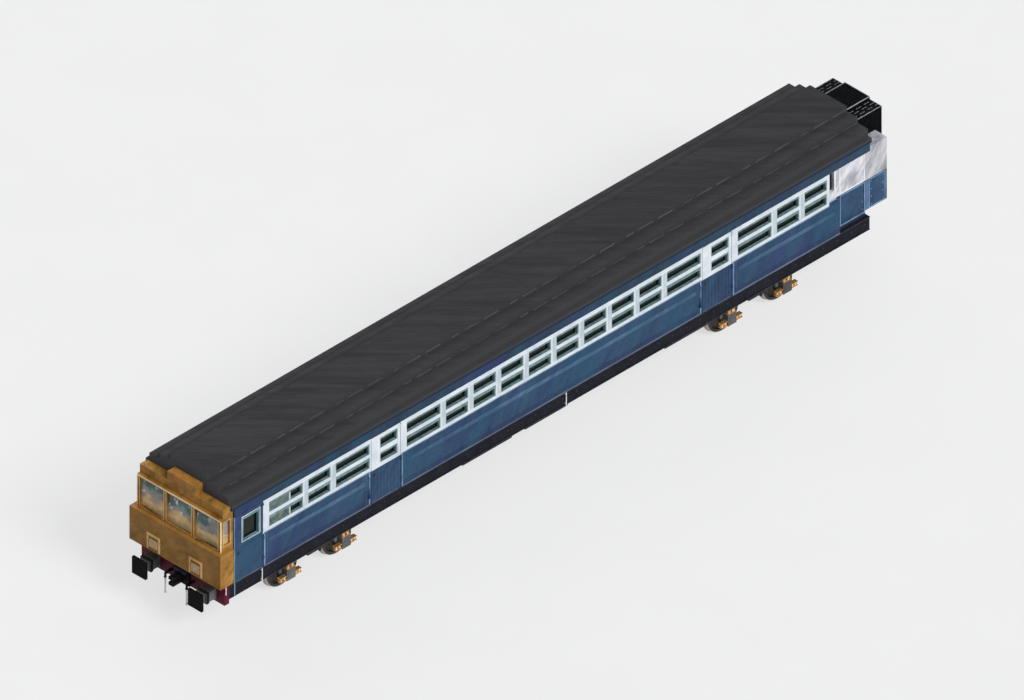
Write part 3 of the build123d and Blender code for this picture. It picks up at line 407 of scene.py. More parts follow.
def glazing(name, tint, alpha, film, shade, low, high):
    """Window glass, slightly dirty and tinted towards its top, and milky in one bay."""
    glass = Finish(name, 0.06, 0.0, Specular_IOR_Level=0.2, IOR=1.5)
    smears = glass.noise(3.0, 6.0, 0.7, (1.5, 1, 0.5), SLANT)
    colour = glass.ramp(smears, (0.35, tint), (0.72, film))
    top = glass.scale(glass.axis("Z"), low, high)
    colour = glass.mix(top, colour, shade)
    opacity = glass.scale(smears, 0.35, 0.75, alpha, min(1.0, alpha + 0.22))
    opacity = glass.weighed(top, 0.3, opacity)
    rough = glass.scale(smears, 0.4, 0.75, 0.04, 0.22)
    milky = glass.band(glass.axis("X"), *MILKY_PANES, 0.01)
    cloud = glass.ramp(glass.noise(6.0, 4.0), (0.35, (82, 98, 90)), (0.65, (122, 136, 128)))
    colour = glass.mix(milky, colour, cloud)
    opacity = glass.maths("MAXIMUM", opacity, milky)
    return glass.wire(Base_Color=colour, Alpha=opacity, Roughness=rough)


def screen_glass(name, low, high):
    """Cab glass with road film: warm low down, lilac-grey above and teal at the top, with
    painted glints near the top.
    """
    glass = Finish(name, 0.1, 0.0, Specular_IOR_Level=0.3, IOR=1.5)
    cloud = glass.noise(3.6, 4.0, 0.6, (1.0, 0.8, 0.9), (20, 15, 0))
    patches = glass.noise(1.7, 2.0, 0.5, (1.0, 0.8, 1.2))
    rise = glass.scale(glass.axis("Z"), low, high)
    uneven = glass.maths("SUBTRACT", glass.maths("ADD", cloud, patches), 1.0)
    value = glass.weighed(uneven, 1.25, rise)
    value = glass.maths("SUBTRACT", value, glass.scale(glass.axis("Y"), 0.1, 0.9, 0.0, 0.14))
    colour = glass.ramp(
        value, (0.0, (214, 194, 146)), (0.2, (252, 212, 146)), (0.36, (226, 188, 138)),
        (0.44, (176, 168, 158)), (0.64, (158, 158, 154)), (0.76, (92, 138, 142)),
        (0.92, (96, 106, 94)))
    # Painted highlights: white glints scattered over the upper part of the glass.
    painted_glints = glass.noise(7.0, 2.0, 0.5, (1.0, 1.0, 0.6))
    upper = glass.band(rise, 0.45, 0.85, 0.1)
    painted_glints = glass.times(glass.scale(painted_glints, 0.62, 0.66), upper)
    colour = glass.mix(painted_glints, colour, (232, 240, 238))
    opacity = glass.scale(glass.noise(4.4, 3.0), 0.35, 0.65, 0.6, 0.86)
    return glass.wire(Base_Color=colour, Alpha=opacity)


def two_metals(name, split, front, back):
    """Painted iron that is one tone ahead of a station along the car and another behind."""
    metal = Finish(name, 0.7, Specular_IOR_Level=0.06)
    spots = metal.noise(9.0, 6.0, 0.65)
    ahead = metal.scale(metal.axis("X"), split - 0.001, split + 0.001)
    tones = [metal.ramp(spots, (0.35, tone), (0.7, raised(tone))) for tone in (back, front)]
    return metal.wire(Base_Color=metal.mix(ahead, *tones),
                      Normal=metal.grain(60.0, 4.0, 0.0015, 0.6))


def rubber(name, colour=(6, 7, 9)):
    skin = Finish(name, 0.85, Specular_IOR_Level=0.05)
    spots = skin.noise(8.0, 6.0, 0.7)
    tone = skin.ramp(spots, (0.35, colour), (0.72, raised(colour)))
    return skin.wire(Base_Color=tone, Normal=skin.grain(140.0, 3.0, 0.001, 0.7))


def wood(name, dark, light, turn=(0, 0, 0)):
    timber = Finish(name, 0.45, Coat_Weight=0.25)
    rings = timber.noise(1.4, 6.0, 0.6, (9.0, 9.0, 0.8), turn)
    tone = timber.ramp(rings, (0.35, dark), (0.65, light))
    return timber.wire(Base_Color=tone, Normal=timber.bump(rings, 0.001, 0.5))


def plastic(name, colour, roughness=0.5):
    shell = Finish(name, roughness)
    spots = shell.noise(5.0, 4.0)
    tone = shell.ramp(spots, (0.35, colour), (0.7, raised(colour, 22)))
    return shell.wire(Base_Color=tone, Normal=shell.grain(180.0, 2.0, 0.0006, 0.6))


def moquette(name, ground, figure):
    """Cut-pile seat cloth with a small woven check."""
    cloth = Finish(name, 0.9, Sheen_Weight=0.5, Sheen_Roughness=0.4)
    rows = cloth.maths("PINGPONG", cloth.axis("Z"), 0.02)
    columns = cloth.maths("PINGPONG", cloth.axis("Y"), 0.02)
    deep = cloth.maths("PINGPONG", cloth.axis("X"), 0.02)
    check = cloth.maths("ADD", cloth.maths("ADD", rows, columns), deep)
    spots = cloth.scale(check, 0.022, 0.034)
    pile = cloth.noise(160.0, 3.0, 0.7)
    tone = cloth.mix(spots, ground, figure)
    tone = cloth.mix(cloth.scale(pile, 0.3, 0.8, 0.0, 0.5), tone, (18, 26, 34))
    return cloth.wire(Base_Color=tone, Normal=cloth.bump(pile, 0.002, 0.8))


def lens(name):
    glass = Finish(name, 0.18, Coat_Weight=0.8, Coat_Roughness=0.05)
    fluting = glass.maths("PINGPONG", glass.axis("Y"), 0.008)
    glow = glass.noise(12.0, 3.0)
    tone = glass.ramp(glow, (0.3, (158, 124, 90)), (0.7, (196, 166, 132)))
    return glass.wire(Base_Color=tone, Normal=glass.bump(fluting, 0.3, 0.5))


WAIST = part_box("window_bands")[0].z
BODY_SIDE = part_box("cantrails")[1].y

YELLOW = yellow("yellow_paint")
PALE_YELLOW = yellow("pale_yellow_paint", (206, 166, 104), (228, 190, 128),
                     (242, 212, 154), 0.12)
BLUE = blue("blue_paint")
# The cantrail's blue is darker than the body's: painted shade under the roof's edge.
SHADED_CANTRAIL_BLUE = blue("cantrail_paint", (30, 48, 70), (38, 61, 82), (49, 73, 93))
PALE_BLUE = blue("pale_blue_paint", (104, 140, 178), (132, 164, 200), (158, 186, 216))
WHITE = white("white_paint")
END_PAINT = two_tone("end_panel_paint", WAIST)
# The corner boxes take the end panels' pale paint darker: painted shade.
BOX_PAINT = two_tone("corner_box_paint", WAIST, 0.87)
DOOR_PAINT = door_paint("door_paint", WAIST)
ROOF = roofing("roof_paint", *(corner.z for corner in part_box("roof")))
ROOF_LINE = iron("roof_line_paint", (74, 74, 76), 0.8, (80, 80, 80))
BLACK = iron("black_paint", (16, 16, 18), 0.7, (52, 49, 46), 0.25, 0.08)
SOLEBAR = lined_iron("solebar_paint", (20, 21, 29), BODY_SIDE, (70, 72, 80))
# Painted shade: shaded white for the mullions and dividers, and pale green-blue inside the
# window openings.
SHADE_WHITE = aqua("shade_white_paint", (184, 196, 202), (204, 216, 222))
AQUA_SHADE = aqua("aqua_shade_paint", (96, 124, 126), (128, 156, 156))
CAB_AQUA_SHADE = aqua("cab_aqua_shade_paint", (84, 124, 134), (122, 160, 166))
POST_BLUE = blue("post_blue_paint", (84, 108, 144), (98, 124, 160), (112, 138, 172))
# The waist moulding's lighter blue is a painted highlight along it.
SWAGE_HIGHLIGHT_BLUE = blue("swage_highlight_paint", (62, 90, 120), (75, 105, 136), (92, 120, 150))
# The pale strips along the foot of the panels and doors are a painted highlight along that
# edge.
SILL_HIGHLIGHT = iron("sill_highlight_paint", (86, 94, 116), 0.6, (92, 90, 90), 0.3)
FOOT_BLUE = blue("foot_blue_paint", (30, 46, 78), (38, 58, 90), (47, 68, 100))
RAIL_BLUE = blue("rail_blue_paint", (118, 136, 160), (132, 152, 176), (144, 164, 188))
CREAM = yellow("cream_paint", (232, 206, 156), (248, 228, 180), (252, 238, 200), 0.0)
BUFFER_IRON = two_metals("buffer_iron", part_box("buffer_heads")[1].x - 0.067,
                         (8, 8, 9), (96, 96, 98))
JUMPER_BLUE = iron("jumper_box_paint", (46, 48, 70), 0.6)
COUPLER_IRON = iron("coupler_iron", (17, 17, 18), 0.65, gloss=0.06)
CRIMSON = iron("crimson_paint", (76, 13, 33), 0.5, (46, 30, 30), 0.4)
STEEL = iron("frame_steel", (38, 37, 38), 0.6, (92, 80, 66), 0.45)
AXLEBOX = iron("axlebox_iron", (84, 84, 84), 0.6, (120, 110, 96), 0.4)
HOUSING = iron("housing_iron", (88, 88, 90), 0.55, (120, 114, 104), 0.35)
BRASS = bright_metal("brass", (176, 122, 62), (236, 196, 138), 0.35)
DULL_METAL = bright_metal("dull_metal", (46, 50, 58), (86, 90, 96), 0.5)
SILVER = bright_metal("silver_metal", (150, 152, 154), (214, 216, 218), 0.3)
SIDE_GLASS = glazing("side_glass", (2, 3, 3), 0.9, (20, 30, 29), (3, 5, 5), 2.2, 2.9)
PANE_BOTTOM, PANE_TOP = (corner.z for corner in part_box("windscreens"))
CAB_GLASS = screen_glass("cab_glass", PANE_BOTTOM, PANE_TOP)
RUBBER = rubber("rubber")
BELLOWS_LINE = iron("bellows_line", (132, 134, 138), 0.7, (150, 148, 144), 0.3)
WOOD = wood("interior_wood", (140, 78, 34), (206, 136, 72))
PLASTIC = plastic("interior_plastic", (120, 114, 130))
FABRIC = moquette("seat_fabric", (38, 74, 96), (120, 64, 58))
LAMP = lens("lamp")
CLEAN_WHITE = iron("pipe_white", (214, 216, 218), 0.4, (150, 140, 128), 0.5)

LINO = plastic("floor_lino", (104, 98, 110), 0.6)
GAUGE = plastic("gauge_face", (18, 18, 20), 0.25)

NODE_FINISH = {
    "nose_box": YELLOW, "cab_front_frame": YELLOW, "cab_brow": YELLOW,
    "lamp_frames": PALE_YELLOW, "marker_lamps": LAMP, "cab_seals": RUBBER,
    "windscreens": CAB_GLASS, "lower_panels": BLUE, "cantrails": SHADED_CANTRAIL_BLUE,
    "window_bands": WHITE, "side_windows": SIDE_GLASS, "roof": ROOF,
    "partitions": WOOD, "seats": FABRIC, "driver_desk": PLASTIC,
    "vestibule_panels": END_PAINT, "end_wall": BLACK, "corner_boxes": BOX_PAINT,
    "gangway_bellows": RUBBER, "solebars": SOLEBAR, "headstocks": CRIMSON,
    "underframe": STEEL, "buffer_housings": HOUSING, "buffer_heads": BUFFER_IRON,
    "couplings": COUPLER_IRON, "engines": STEEL, "underfloor_boxes": BLACK,
    "gangway_door": PLASTIC,
}
DOORS = "cab_door", "front_door", "rear_door"
for side in ("left", "right"):
    for door in DOORS:
        NODE_FINISH[f"{door}_{side}"] = BLUE if door == "cab_door" else DOOR_PAINT
        NODE_FINISH[f"{door}_glass_{side}"] = SIDE_GLASS
for bogie in ("front", "rear"):
    NODE_FINISH[f"bogie_frame_{bogie}"] = STEEL
    NODE_FINISH[f"axleboxes_{bogie}"] = AXLEBOX
    NODE_FINISH[f"springs_{bogie}"] = BRASS
    for place in ("leading", "trailing"):
        name = f"wheelset_{bogie}_{place}"
        low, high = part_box(name)
        NODE_FINISH[name] = wheel(name + "_steel", (low + high) / 2)
for name, obj in nodes.items():
    obj.data.materials.clear()
    obj.data.materials.append(NODE_FINISH[name])


# ------------------------------------------------------------------ pieces
SUNK = 0.002                   # how far trim reaches into the face that it lies on
THINNEST = 0.001               # a bar narrower than this is left out
BOTH_SIDES = 1, -1


def ordered(sign, near, far):
    """Two distances from the centre line as a low and a high Y on the side of the sign."""
    return sorted((sign * near, sign * far))


def circle(count):
    """The cosine and sine of evenly spaced bearings."""
    bearings = (2 * math.pi * part / count for part in range(count))
    return [(math.cos(bearing), math.sin(bearing)) for bearing in bearings]


class Piece:
    """A joined mesh of bars, studs and tubes that rides on one body."""

    def __init__(self, name, material, slot, body="car_body"):
        self.name, self.material, self.slot, self.body = name, material, slot, body
        self.mesh = bmesh.new()

    def ring(self, points):
        return [self.mesh.verts.new(point) for point in points]

    def skin(self, rings, end=True):
        """Faces from ring to ring, over the first ring and, where asked, over the last."""
        for first, second in zip(rings, rings[1:]):
            for part in range(len(first)):
                self.mesh.faces.new((first[part - 1], first[part],
                                     second[part], second[part - 1]))
        self.mesh.faces.new(rings[0][::-1])
        if end:
            self.mesh.faces.new(rings[-1])

    def bar(self, low, high):
        """A box between two corners."""
        low, high = Vector(low), Vector(high)
        matrix = Matrix.Translation((low + high) / 2) @ Matrix.Diagonal((*(high - low), 1))
        bmesh.ops.create_cube(self.mesh, size=1, matrix=matrix)

    def sides(self, x0, x1, y0, y1, z0, z1):
        """The same bar on the left and on the right side."""
        for sign in BOTH_SIDES:
            low, high = ordered(sign, y0, y1)
            self.bar((x0, low, z0), (x1, high, z1))

    def stud(self, at, out, radius=0.009, height=0.005, rounds=2, segments=10):
        """A domed rivet or bolt head on a face that looks along out."""
        at, out = Vector(at), Vector(out).normalized()
        turn = out.to_track_quat("Z", "Y")
        rings = []
        for step in range(rounds + 1):
            angle = step / (rounds + 1) * math.pi / 2
            size, lift = radius * math.cos(angle), height * math.sin(angle)
            rings.append(self.ring(at + turn @ Vector((size * along, size * over, lift))
                                   for along, over in circle(segments)))
        self.skin(rings, end=False)
        top = self.mesh.verts.new(at + out * height)
        for part in range(segments):
            self.mesh.faces.new((rings[-1][part - 1], rings[-1][part], top))

    def tube(self, points, radius, segments=10):
        """A round rod through the points, mitred at its corners."""
        points = [Vector(point) for point in points]
        rings = []
        for index, point in enumerate(points):
            before = points[max(index - 1, 0)]
            after = points[min(index + 1, len(points) - 1)]
            along = (after - before).normalized()
            arriving = (point - before) if index else (after - before)
            size = radius / max(0.5, abs(arriving.normalized().dot(along)))
            turn = along.to_track_quat("Z", "Y")
            rings.append(self.ring(point + turn @ Vector((size * across, size * over, 0))
                                   for across, over in circle(segments)))
        self.skin(rings)

    def coil(self, x, y, z0, z1, radius, wire, turns=4, segments=14):
        """An upright coil spring between two heights."""
        round_once = circle(segments)
        points = []
        for part in range(turns * segments + 1):
            along, across = round_once[part % segments]
            rise = (z1 - z0 - 2 * wire) * part / (turns * segments)
            points.append((x + radius * along, y + radius * across, z0 + wire + rise))
        self.tube(points, wire, 7)

    def cushion(self, low, high, crown=0.012, power=7.0, cuts=5):
        """A padded form with rounded edges that swells in the middle of each face."""
        low, high = Vector(low), Vector(high)
        centre, half = (low + high) / 2, (high - low) / 2
        form = bmesh.new()
        bmesh.ops.create_cube(form, size=2)
        bmesh.ops.subdivide_edges(form, edges=form.edges, cuts=cuts, use_grid_fill=True)
        for vertex in form.verts:
            place = vertex.co.copy()
            span = sum(abs(part) ** power for part in place) ** (1 / power)
            swell = []
            for axis in range(3):
                first, second = (place[i] for i in range(3) if i != axis)
                rise = (1 - first ** 2) * (1 - second ** 2) * crown / half[axis]
                swell.append(1.0 + max(0.0, rise) - crown / half[axis])
            vertex.co = centre + Vector(
                place[i] / span * half[i] * swell[i] for i in range(3))
        made = bpy.data.meshes.new("cushion")
        form.to_mesh(made)
        form.free()
        self.mesh.from_mesh(made)
        bpy.data.meshes.remove(made)

    def shoe(self, x, z, y0, y1, inner, outer, start, end, parts=8):
        """A curved brake block round an axle at x, z, between two angles."""
        rings = []
        for part in range(parts + 1):
            angle = math.radians(start + (end - start) * part / parts)
            along, up = math.cos(angle), math.sin(angle)
            rings.append(self.ring((x + along * r, y, z + up * r) for r, y in (
                (inner, y0), (outer, y0), (outer, y1), (inner, y1))))
        self.skin(rings)

    def disc(self, at, out, radius, depth, segments=24):
        """A short cylinder that stands on a face and looks along out."""
        at, out = Vector(at), Vector(out).normalized()
        turn = out.to_track_quat("Z", "Y").to_matrix().to_4x4()
        matrix = Matrix.Translation(at + out * depth / 2) @ turn
        bmesh.ops.create_cone(self.mesh, cap_ends=True, segments=segments, radius1=radius,
                              radius2=radius, depth=depth, matrix=matrix)

    def roll(self, x0, x1, y, z, half, proud, parts=8):
        """A long half-round moulding on a body side; proud is signed like y."""
        angles = [math.pi * (part / parts - 0.5) for part in range(parts + 1)]
        self.skin([self.ring((x, y + proud * math.cos(angle), z + half * math.sin(angle))
                             for angle in angles) for x in (x0, x1)])

    def frame(self, looks, faces, across, upward, widths, posts=True):
        """Four bars just inside a rectangle that looks along X or Y.

        widths gives the near post, the far post, the foot and the head. Posts run the full
        height between shorter rails, or else the rails run the full width.
        """
        (start, end), (foot, head) = across, upward
        near, far, low, high = widths
        if posts:
            spans = ((start, start + near, foot, head), (end - far, end, foot, head),
                     (start + near, end - far, foot, foot + low),
                     (start + near, end - far, head - high, head))
        else:
            spans = ((start, end, foot, foot + low), (start, end, head - high, head),
                     (start, start + near, foot + low, head - high),
                     (end - far, end, foot + low, head - high))
        for a, b, c, d in spans:
            if b - a > THINNEST and d - c > THINNEST:
                ends = (a, b), faces
                (x0, x1), (y0, y1) = ends if looks == "Y" else ends[::-1]
                self.bar((x0, y0, c), (x1, y1, d))

    def surround(self, y, out, x0, x1, z0, z1, widths, depth):
        """A frame that reaches inward from a face that looks left or right."""
        self.frame("Y", sorted((y, y - out * depth)), (x0, x1), (z0, z1), widths)

    def done(self, bevel=0.0, smooth=False):
        data = bpy.data.meshes.new(self.name)
        bmesh.ops.recalc_face_normals(self.mesh, faces=self.mesh.faces)
        self.mesh.to_mesh(data)
        self.mesh.free()
        data.materials.append(self.material)
        if smooth:
            data.shade_smooth()
        obj = bpy.data.objects.new(self.name, data)
        bpy.context.scene.collection.objects.link(obj)
        if bevel:
            modifier = obj.modifiers.new("edges", "BEVEL")
            modifier.width = bevel
            modifier.segments = 2
            modifier.limit_method = "ANGLE"
            modifier.angle_limit = math.radians(40)
        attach(obj, self.body)
        return obj


def solids(name):
    """The lowest and highest corner of each separate solid of a CAD node."""
    mesh = bmesh.new()
    mesh.from_mesh(nodes[name].data)
    bmesh.ops.remove_doubles(mesh, verts=mesh.verts, dist=1e-5)
    boxes, seen = [], set()
    for first in mesh.verts:
        if first in seen:
            continue
        seen.add(first)
        found, queue = [], [first]
        while queue:
            vertex = queue.pop()
            found.append(vertex.co.copy())
            for edge in vertex.link_edges:
                other = edge.other_vert(vertex)
                if other not in seen:
                    seen.add(other)
                    queue.append(other)
        boxes.append(tuple(Vector(pick(point[i] for point in found) for i in range(3))
                           for pick in (min, max)))
    mesh.free()
    return boxes


def steps(start, end, pitch, margin=0.0):
    """Evenly spaced stations from start to end, no further apart than the pitch."""
    start, end = start + margin, end - margin
    count = max(1, math.ceil((end - start) / pitch))
    return [start + (end - start) * index / count for index in range(count + 1)]


# ------------------------------------------------------------- body sides
(BOX_BACK, _, BOX_LOW), (BOX_FRONT, BOX_SIDE, _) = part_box("corner_boxes")
(LOWER_BACK, _, SILL), (LOWER_FRONT, _, _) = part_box("lower_panels")
(_, _, SOLEBAR_LOW), (_, _, SOLEBAR_HIGH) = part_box("solebars")
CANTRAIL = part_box("cantrails")[0].z
BAND_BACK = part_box("window_bands")[0].x
ON_SIDE = BODY_SIDE - SUNK
HINGE_MARGIN, DOORWAY_MARGIN = 0.023, 0.04
door_boxes = [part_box(f"{door}_left") for door in DOORS]
doorways = sorted((low.x - HINGE_MARGIN, high.x + DOORWAY_MARGIN) for low, high in door_boxes)
panels = [(LOWER_BACK, doorways[0][0]), (doorways[0][1], doorways[1][0]),
          (doorways[1][1], doorways[2][0])]

STRIP_WIDTH, STRIP_PROUD = 0.036, 0.005
SWAGE_HEIGHT, SWAGE_HALF, SWAGE_PROUD, SWAGE_END = 1.835, 0.055, 0.016, 0.16
SILL_STRIP, SILL_PROUD = 0.034, 0.006
FOOT_STRIP, FOOT_PROUD = (0.045, 0.15), 0.003
RAIL_FOOT = 0.001, 0.028
CORNER_STRIP = 0.026
RIVET_INSET, RIVET_PITCH = 0.1, 0.075
strips = Piece("panel_strips", PALE_BLUE, "blue_paint")
rivets = Piece("panel_rivets", PALE_BLUE, "blue_paint")
swages = Piece("waist_mouldings", SWAGE_HIGHLIGHT_BLUE, "blue_paint")
sills = Piece("sill_strips", SILL_HIGHLIGHT, "blue_paint")
feet = Piece("panel_foot_strips", FOOT_BLUE, "blue_paint")
rail_feet = Piece("band_foot_strips", RAIL_BLUE, "blue_paint")


def strip(piece, start, end, proud, low, high):
    """A flat strip on both body sides."""
    piece.sides(start, end, ON_SIDE, BODY_SIDE + proud, low, high)


for start, end in panels:
    strip(sills, start, end, SILL_PROUD, SILL, SILL + SILL_STRIP)
    strip(feet, start, end, FOOT_PROUD, *(SILL + height for height in FOOT_STRIP))
    strip(rail_feet, max(start, BAND_BACK), end, FOOT_PROUD,
          *(WAIST + height for height in RAIL_FOOT))
    if start > LOWER_BACK:
        strip(strips, start, start + STRIP_WIDTH, STRIP_PROUD, SILL, WAIST)
    strip(strips, end - STRIP_WIDTH, end, STRIP_PROUD, SILL, WAIST)
    for sign in BOTH_SIDES:
        swages.roll(start + SWAGE_END, end - SWAGE_END, sign * ON_SIDE, SWAGE_HEIGHT,
                    SWAGE_HALF, sign * SWAGE_PROUD)
    for x in (start + RIVET_INSET, end - RIVET_INSET):
        for z in steps(SILL, WAIST, RIVET_PITCH, 0.04):
            for sign in BOTH_SIDES:
                rivets.stud((x, sign * BODY_SIDE, z), (0, sign, 0))
strip(strips, LOWER_FRONT - CORNER_STRIP, LOWER_FRONT, STRIP_PROUD, SOLEBAR_LOW, CANTRAIL)
for piece, bevel in ((strips, 0.0015), (rivets, 0), (swages, 0), (sills, 0.0015),
                     (feet, 0.001), (rail_feet, 0.001)):
    piece.done(bevel, smooth=piece in (rivets, swages))

GLASS_FACE = 1.184             # outer face of the side windows
BEAD_FACE = BODY_SIDE - 0.004
SIDE_BEADS = 0.03, 0.012, 0.008, 0.05
CAB_BEADS = 0.03, 0.045, 0.01, 0.075


def pane_beads(piece, sign, low, high, widths):
    """The lining of one window opening, from the body side in to the glass."""
    piece.surround(sign * BEAD_FACE, sign, low.x, high.x, low.z, high.z, widths,
                   BEAD_FACE - GLASS_FACE)


windows = solids("side_windows")
left = [(low, high) for low, high in windows if high.y > BOX_SIDE]
# The window linings are pale green-blue: painted shade inside the openings.
beads = Piece("pane_beads", AQUA_SHADE, "white_paint")
for low, high in windows:
    if min(abs(low.y), abs(high.y)) > BOX_SIDE:
        pane_beads(beads, math.copysign(1, low.y), low, high, SIDE_BEADS)
beads.done(0.002)

BRIGHT_EDGE = 0.05
WIDEST_POST = 0.3
TRANSOM_SHADE = 0.032
DIVIDER, DIVIDER_WIDTH = 7.985, 0.04
# Painted shade: the rear part of each narrow mullion is shaded grey-green, leaving a bright
# front edge; the pane dividers take the same shaded white.
shades = Piece("frame_shades", SHADE_WHITE, "white_paint")
# Painted shade: a pale green-blue strip along the top of each lower pane, under the transom.
transom_shades = Piece("transom_shade_strips", AQUA_SHADE, "white_paint")
dividers = Piece("pane_dividers", SHADE_WHITE, "white_paint")
columns = sorted({(round(low.x, 4), round(high.x, 4)) for low, high in left})
pane_foot = min(low.z for low, high in left)
pane_head = max(high.z for low, high in left)
lower_head = max(high.z for low, high in left if high.z < pane_head - 0.1)
upper_foot = min(low.z for low, high in left if low.z > lower_head)
for (x0, x1), (x2, _) in zip(columns, columns[1:]):
    if x2 - x1 < WIDEST_POST:
        strip(shades, x1 + 0.004, x2 - BRIGHT_EDGE, 0.0025, pane_foot, pane_head)
for x0, x1 in columns:
    strip(transom_shades, x0, x1, 0.003, lower_head, lower_head + TRANSOM_SHADE)
for foot, head in ((pane_foot, lower_head), (upper_foot, pane_head)):
    dividers.sides(DIVIDER, DIVIDER + DIVIDER_WIDTH, GLASS_FACE, BEAD_FACE,
                   foot + SIDE_BEADS[2], head - SIDE_BEADS[3])
shades.done(0.001)
transom_shades.done(0.001)
dividers.done(0.002)

# ---------------------------------------------------------------- solebars
WEB = BODY_SIDE - 0.015
PIPE_STATIONS = LOWER_FRONT - 0.839, LOWER_FRONT - 10.079
PIPE_OUT = 0.012               # the drain pipes' radius, and how far they stand out
solebar_back, solebar_front = (corner.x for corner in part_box("solebars"))
solebar_rivets = Piece("solebar_rivets", ROOF_LINE, "black_paint")
pipes = Piece("drain_pipes", CLEAN_WHITE, "white_paint")
for sign in BOTH_SIDES:
    for x in steps(solebar_back, solebar_front, 0.42, 0.15):
        solebar_rivets.stud((x, sign * WEB, (SOLEBAR_LOW + SOLEBAR_HIGH) / 2 + 0.02),
                            (0, sign, 0), 0.012, 0.008)
    clip = ordered(sign, WEB, BODY_SIDE + 0.006)
    for x in PIPE_STATIONS:
        y = sign * (BODY_SIDE + PIPE_OUT)
        pipes.tube([(x, y, SOLEBAR_LOW - 0.02), (x, y, SOLEBAR_HIGH)], PIPE_OUT)
        for z in (SOLEBAR_LOW + 0.05, SOLEBAR_HIGH - 0.05):
            pipes.bar((x - 0.02, clip[0], z - 0.008), (x + 0.02, clip[1], z + 0.008))
solebar_rivets.done(smooth=True)
pipes.done(0.001)

# -------------------------------------------------------------------- roof
ROOF_EDGES = (0.885, 3.512), (0.560, 3.705)    # half width and height of each marked step
DASH_PITCH, DASH, SHORT_DASH = 0.6, 0.75, 0.4
roof_low, roof_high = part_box("roof")
roof_beads = Piece("roof_beads", ROOF_LINE, "roof_paint")
joints = steps(roof_low.x, roof_high.x, DASH_PITCH)
count = 0
for half, height in ROOF_EDGES:
    for start, end in zip(joints, joints[1:]):
        count += 1
        share = DASH if count % 3 else SHORT_DASH
        roof_beads.sides(start, start + (end - start) * share, half - SUNK, half + 0.005,
                         height - 0.028, height + SUNK)
roof_beads.done(0.0015)

# ------------------------------------------------------------------- doors
DOOR_BOARD = 0.105
HANDLE, LOCK = 1.95, 1.86
for side, sign in (("left", 1), ("right", -1)):
    for door in DOORS:
        cab = door == "cab_door"
        body = f"{door}_{side}"
        pane_low, pane_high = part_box(f"{door}_glass_{side}")
        door_low, door_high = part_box(body)
        hinge_side = door_low.x + HINGE_MARGIN
        face = sign * BODY_SIDE
        boards = Piece(f"{body}_boards", BLUE, "blue_paint", body)
        if not cab:
            y0, y1 = ordered(sign, ON_SIDE, BODY_SIDE + 0.004)
            for x in steps(hinge_side + 0.03, door_high.x - 0.03, DOOR_BOARD, 0.05):
                boards.bar((x - 0.004, y0, door_low.z + 0.05), (x + 0.004, y1, WAIST - 0.05))
        y0, y1 = ordered(sign, ON_SIDE, BODY_SIDE + 0.006)
        foot = Piece(f"{body}_foot_strip", SILL_HIGHLIGHT, "blue_paint", body)
        for piece, low, high in ((foot, door_low.z + 0.004, SILL + SILL_STRIP),
                                 (boards, WAIST - 0.03, WAIST - 0.012)):
            piece.bar((hinge_side + 0.04, y0, low), (door_high.x - 0.012, y1, high))
            piece.done(0.0012)
        rim = Piece(f"{body}_window_rim", CLEAN_WHITE if cab else WHITE, "white_paint", body)
        edge = 0.016 if cab else 0.010
        rim.surround(face + sign * 0.004, sign, pane_low.x - edge, pane_high.x + edge,
                     pane_low.z - edge, pane_high.z + edge, (edge,) * 4, 0.006)
        rim.done(0.0015)
        # The door window linings are pale green-blue: painted shade inside the openings.
        lining = Piece(f"{body}_pane_beads", CAB_AQUA_SHADE if cab else AQUA_SHADE, "white_paint", body)
        for low, high in solids(f"{door}_glass_{side}"):
            pane_beads(lining, sign, low, high, CAB_BEADS if cab else SIDE_BEADS)
        lining.done(0.002)
        fittings = Piece(f"{body}_handles", DULL_METAL, "brass", body)
        x, out = door_high.x - 0.07, face + sign * 0.03
        fittings.disc((x, face, HANDLE), (0, sign, 0), 0.026, 0.006)
        fittings.tube([(x, face, HANDLE), (x, out, HANDLE), (x - 0.11, out, HANDLE)], 0.008)
        fittings.disc((x, face, LOCK), (0, sign, 0), 0.014, 0.005)
        fittings.done()

RAIL_ENDS, RAIL_BEND = (1.42, 2.00), 0.02
rails = Piece("grab_rails", BLUE, "blue_paint")
for (_, end), sign in ((span, sign) for span in doorways for sign in BOTH_SIDES):
    x = end + 0.055
    y = sign * (BODY_SIDE + 0.001)
    out = sign * (BODY_SIDE + 0.04)
    foot, head = RAIL_ENDS
    rails.tube([(x, y, foot), (x, out, foot + RAIL_BEND), (x, out, head - RAIL_BEND),
                (x, y, head)], 0.009)
    for z in RAIL_ENDS:
        rails.disc((x, sign * BODY_SIDE, z), (0, sign, 0), 0.022, 0.005)
rails.done()

# --------------------------------------------------------------- inner end
(END_BACK, _, FLOOR_TOP), (END_FRONT, _, _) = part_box("vestibule_panels")
WALL_FRONT = END_FRONT - 0.04
BOX_INNER = 0.75               # side of a corner box towards the gangway


def panel_frame(piece, low, high, thick=0.022, proud=0.006):
    """Four flat bars round a panel that looks left or right. The corners give its side."""
    faces = ordered(math.copysign(1, low[1]), abs(low[1]) - SUNK, abs(low[1]) + proud)
    piece.frame("Y", faces, (low[0], high[0]), (low[2], high[2]), (thick,) * 4, posts=False)


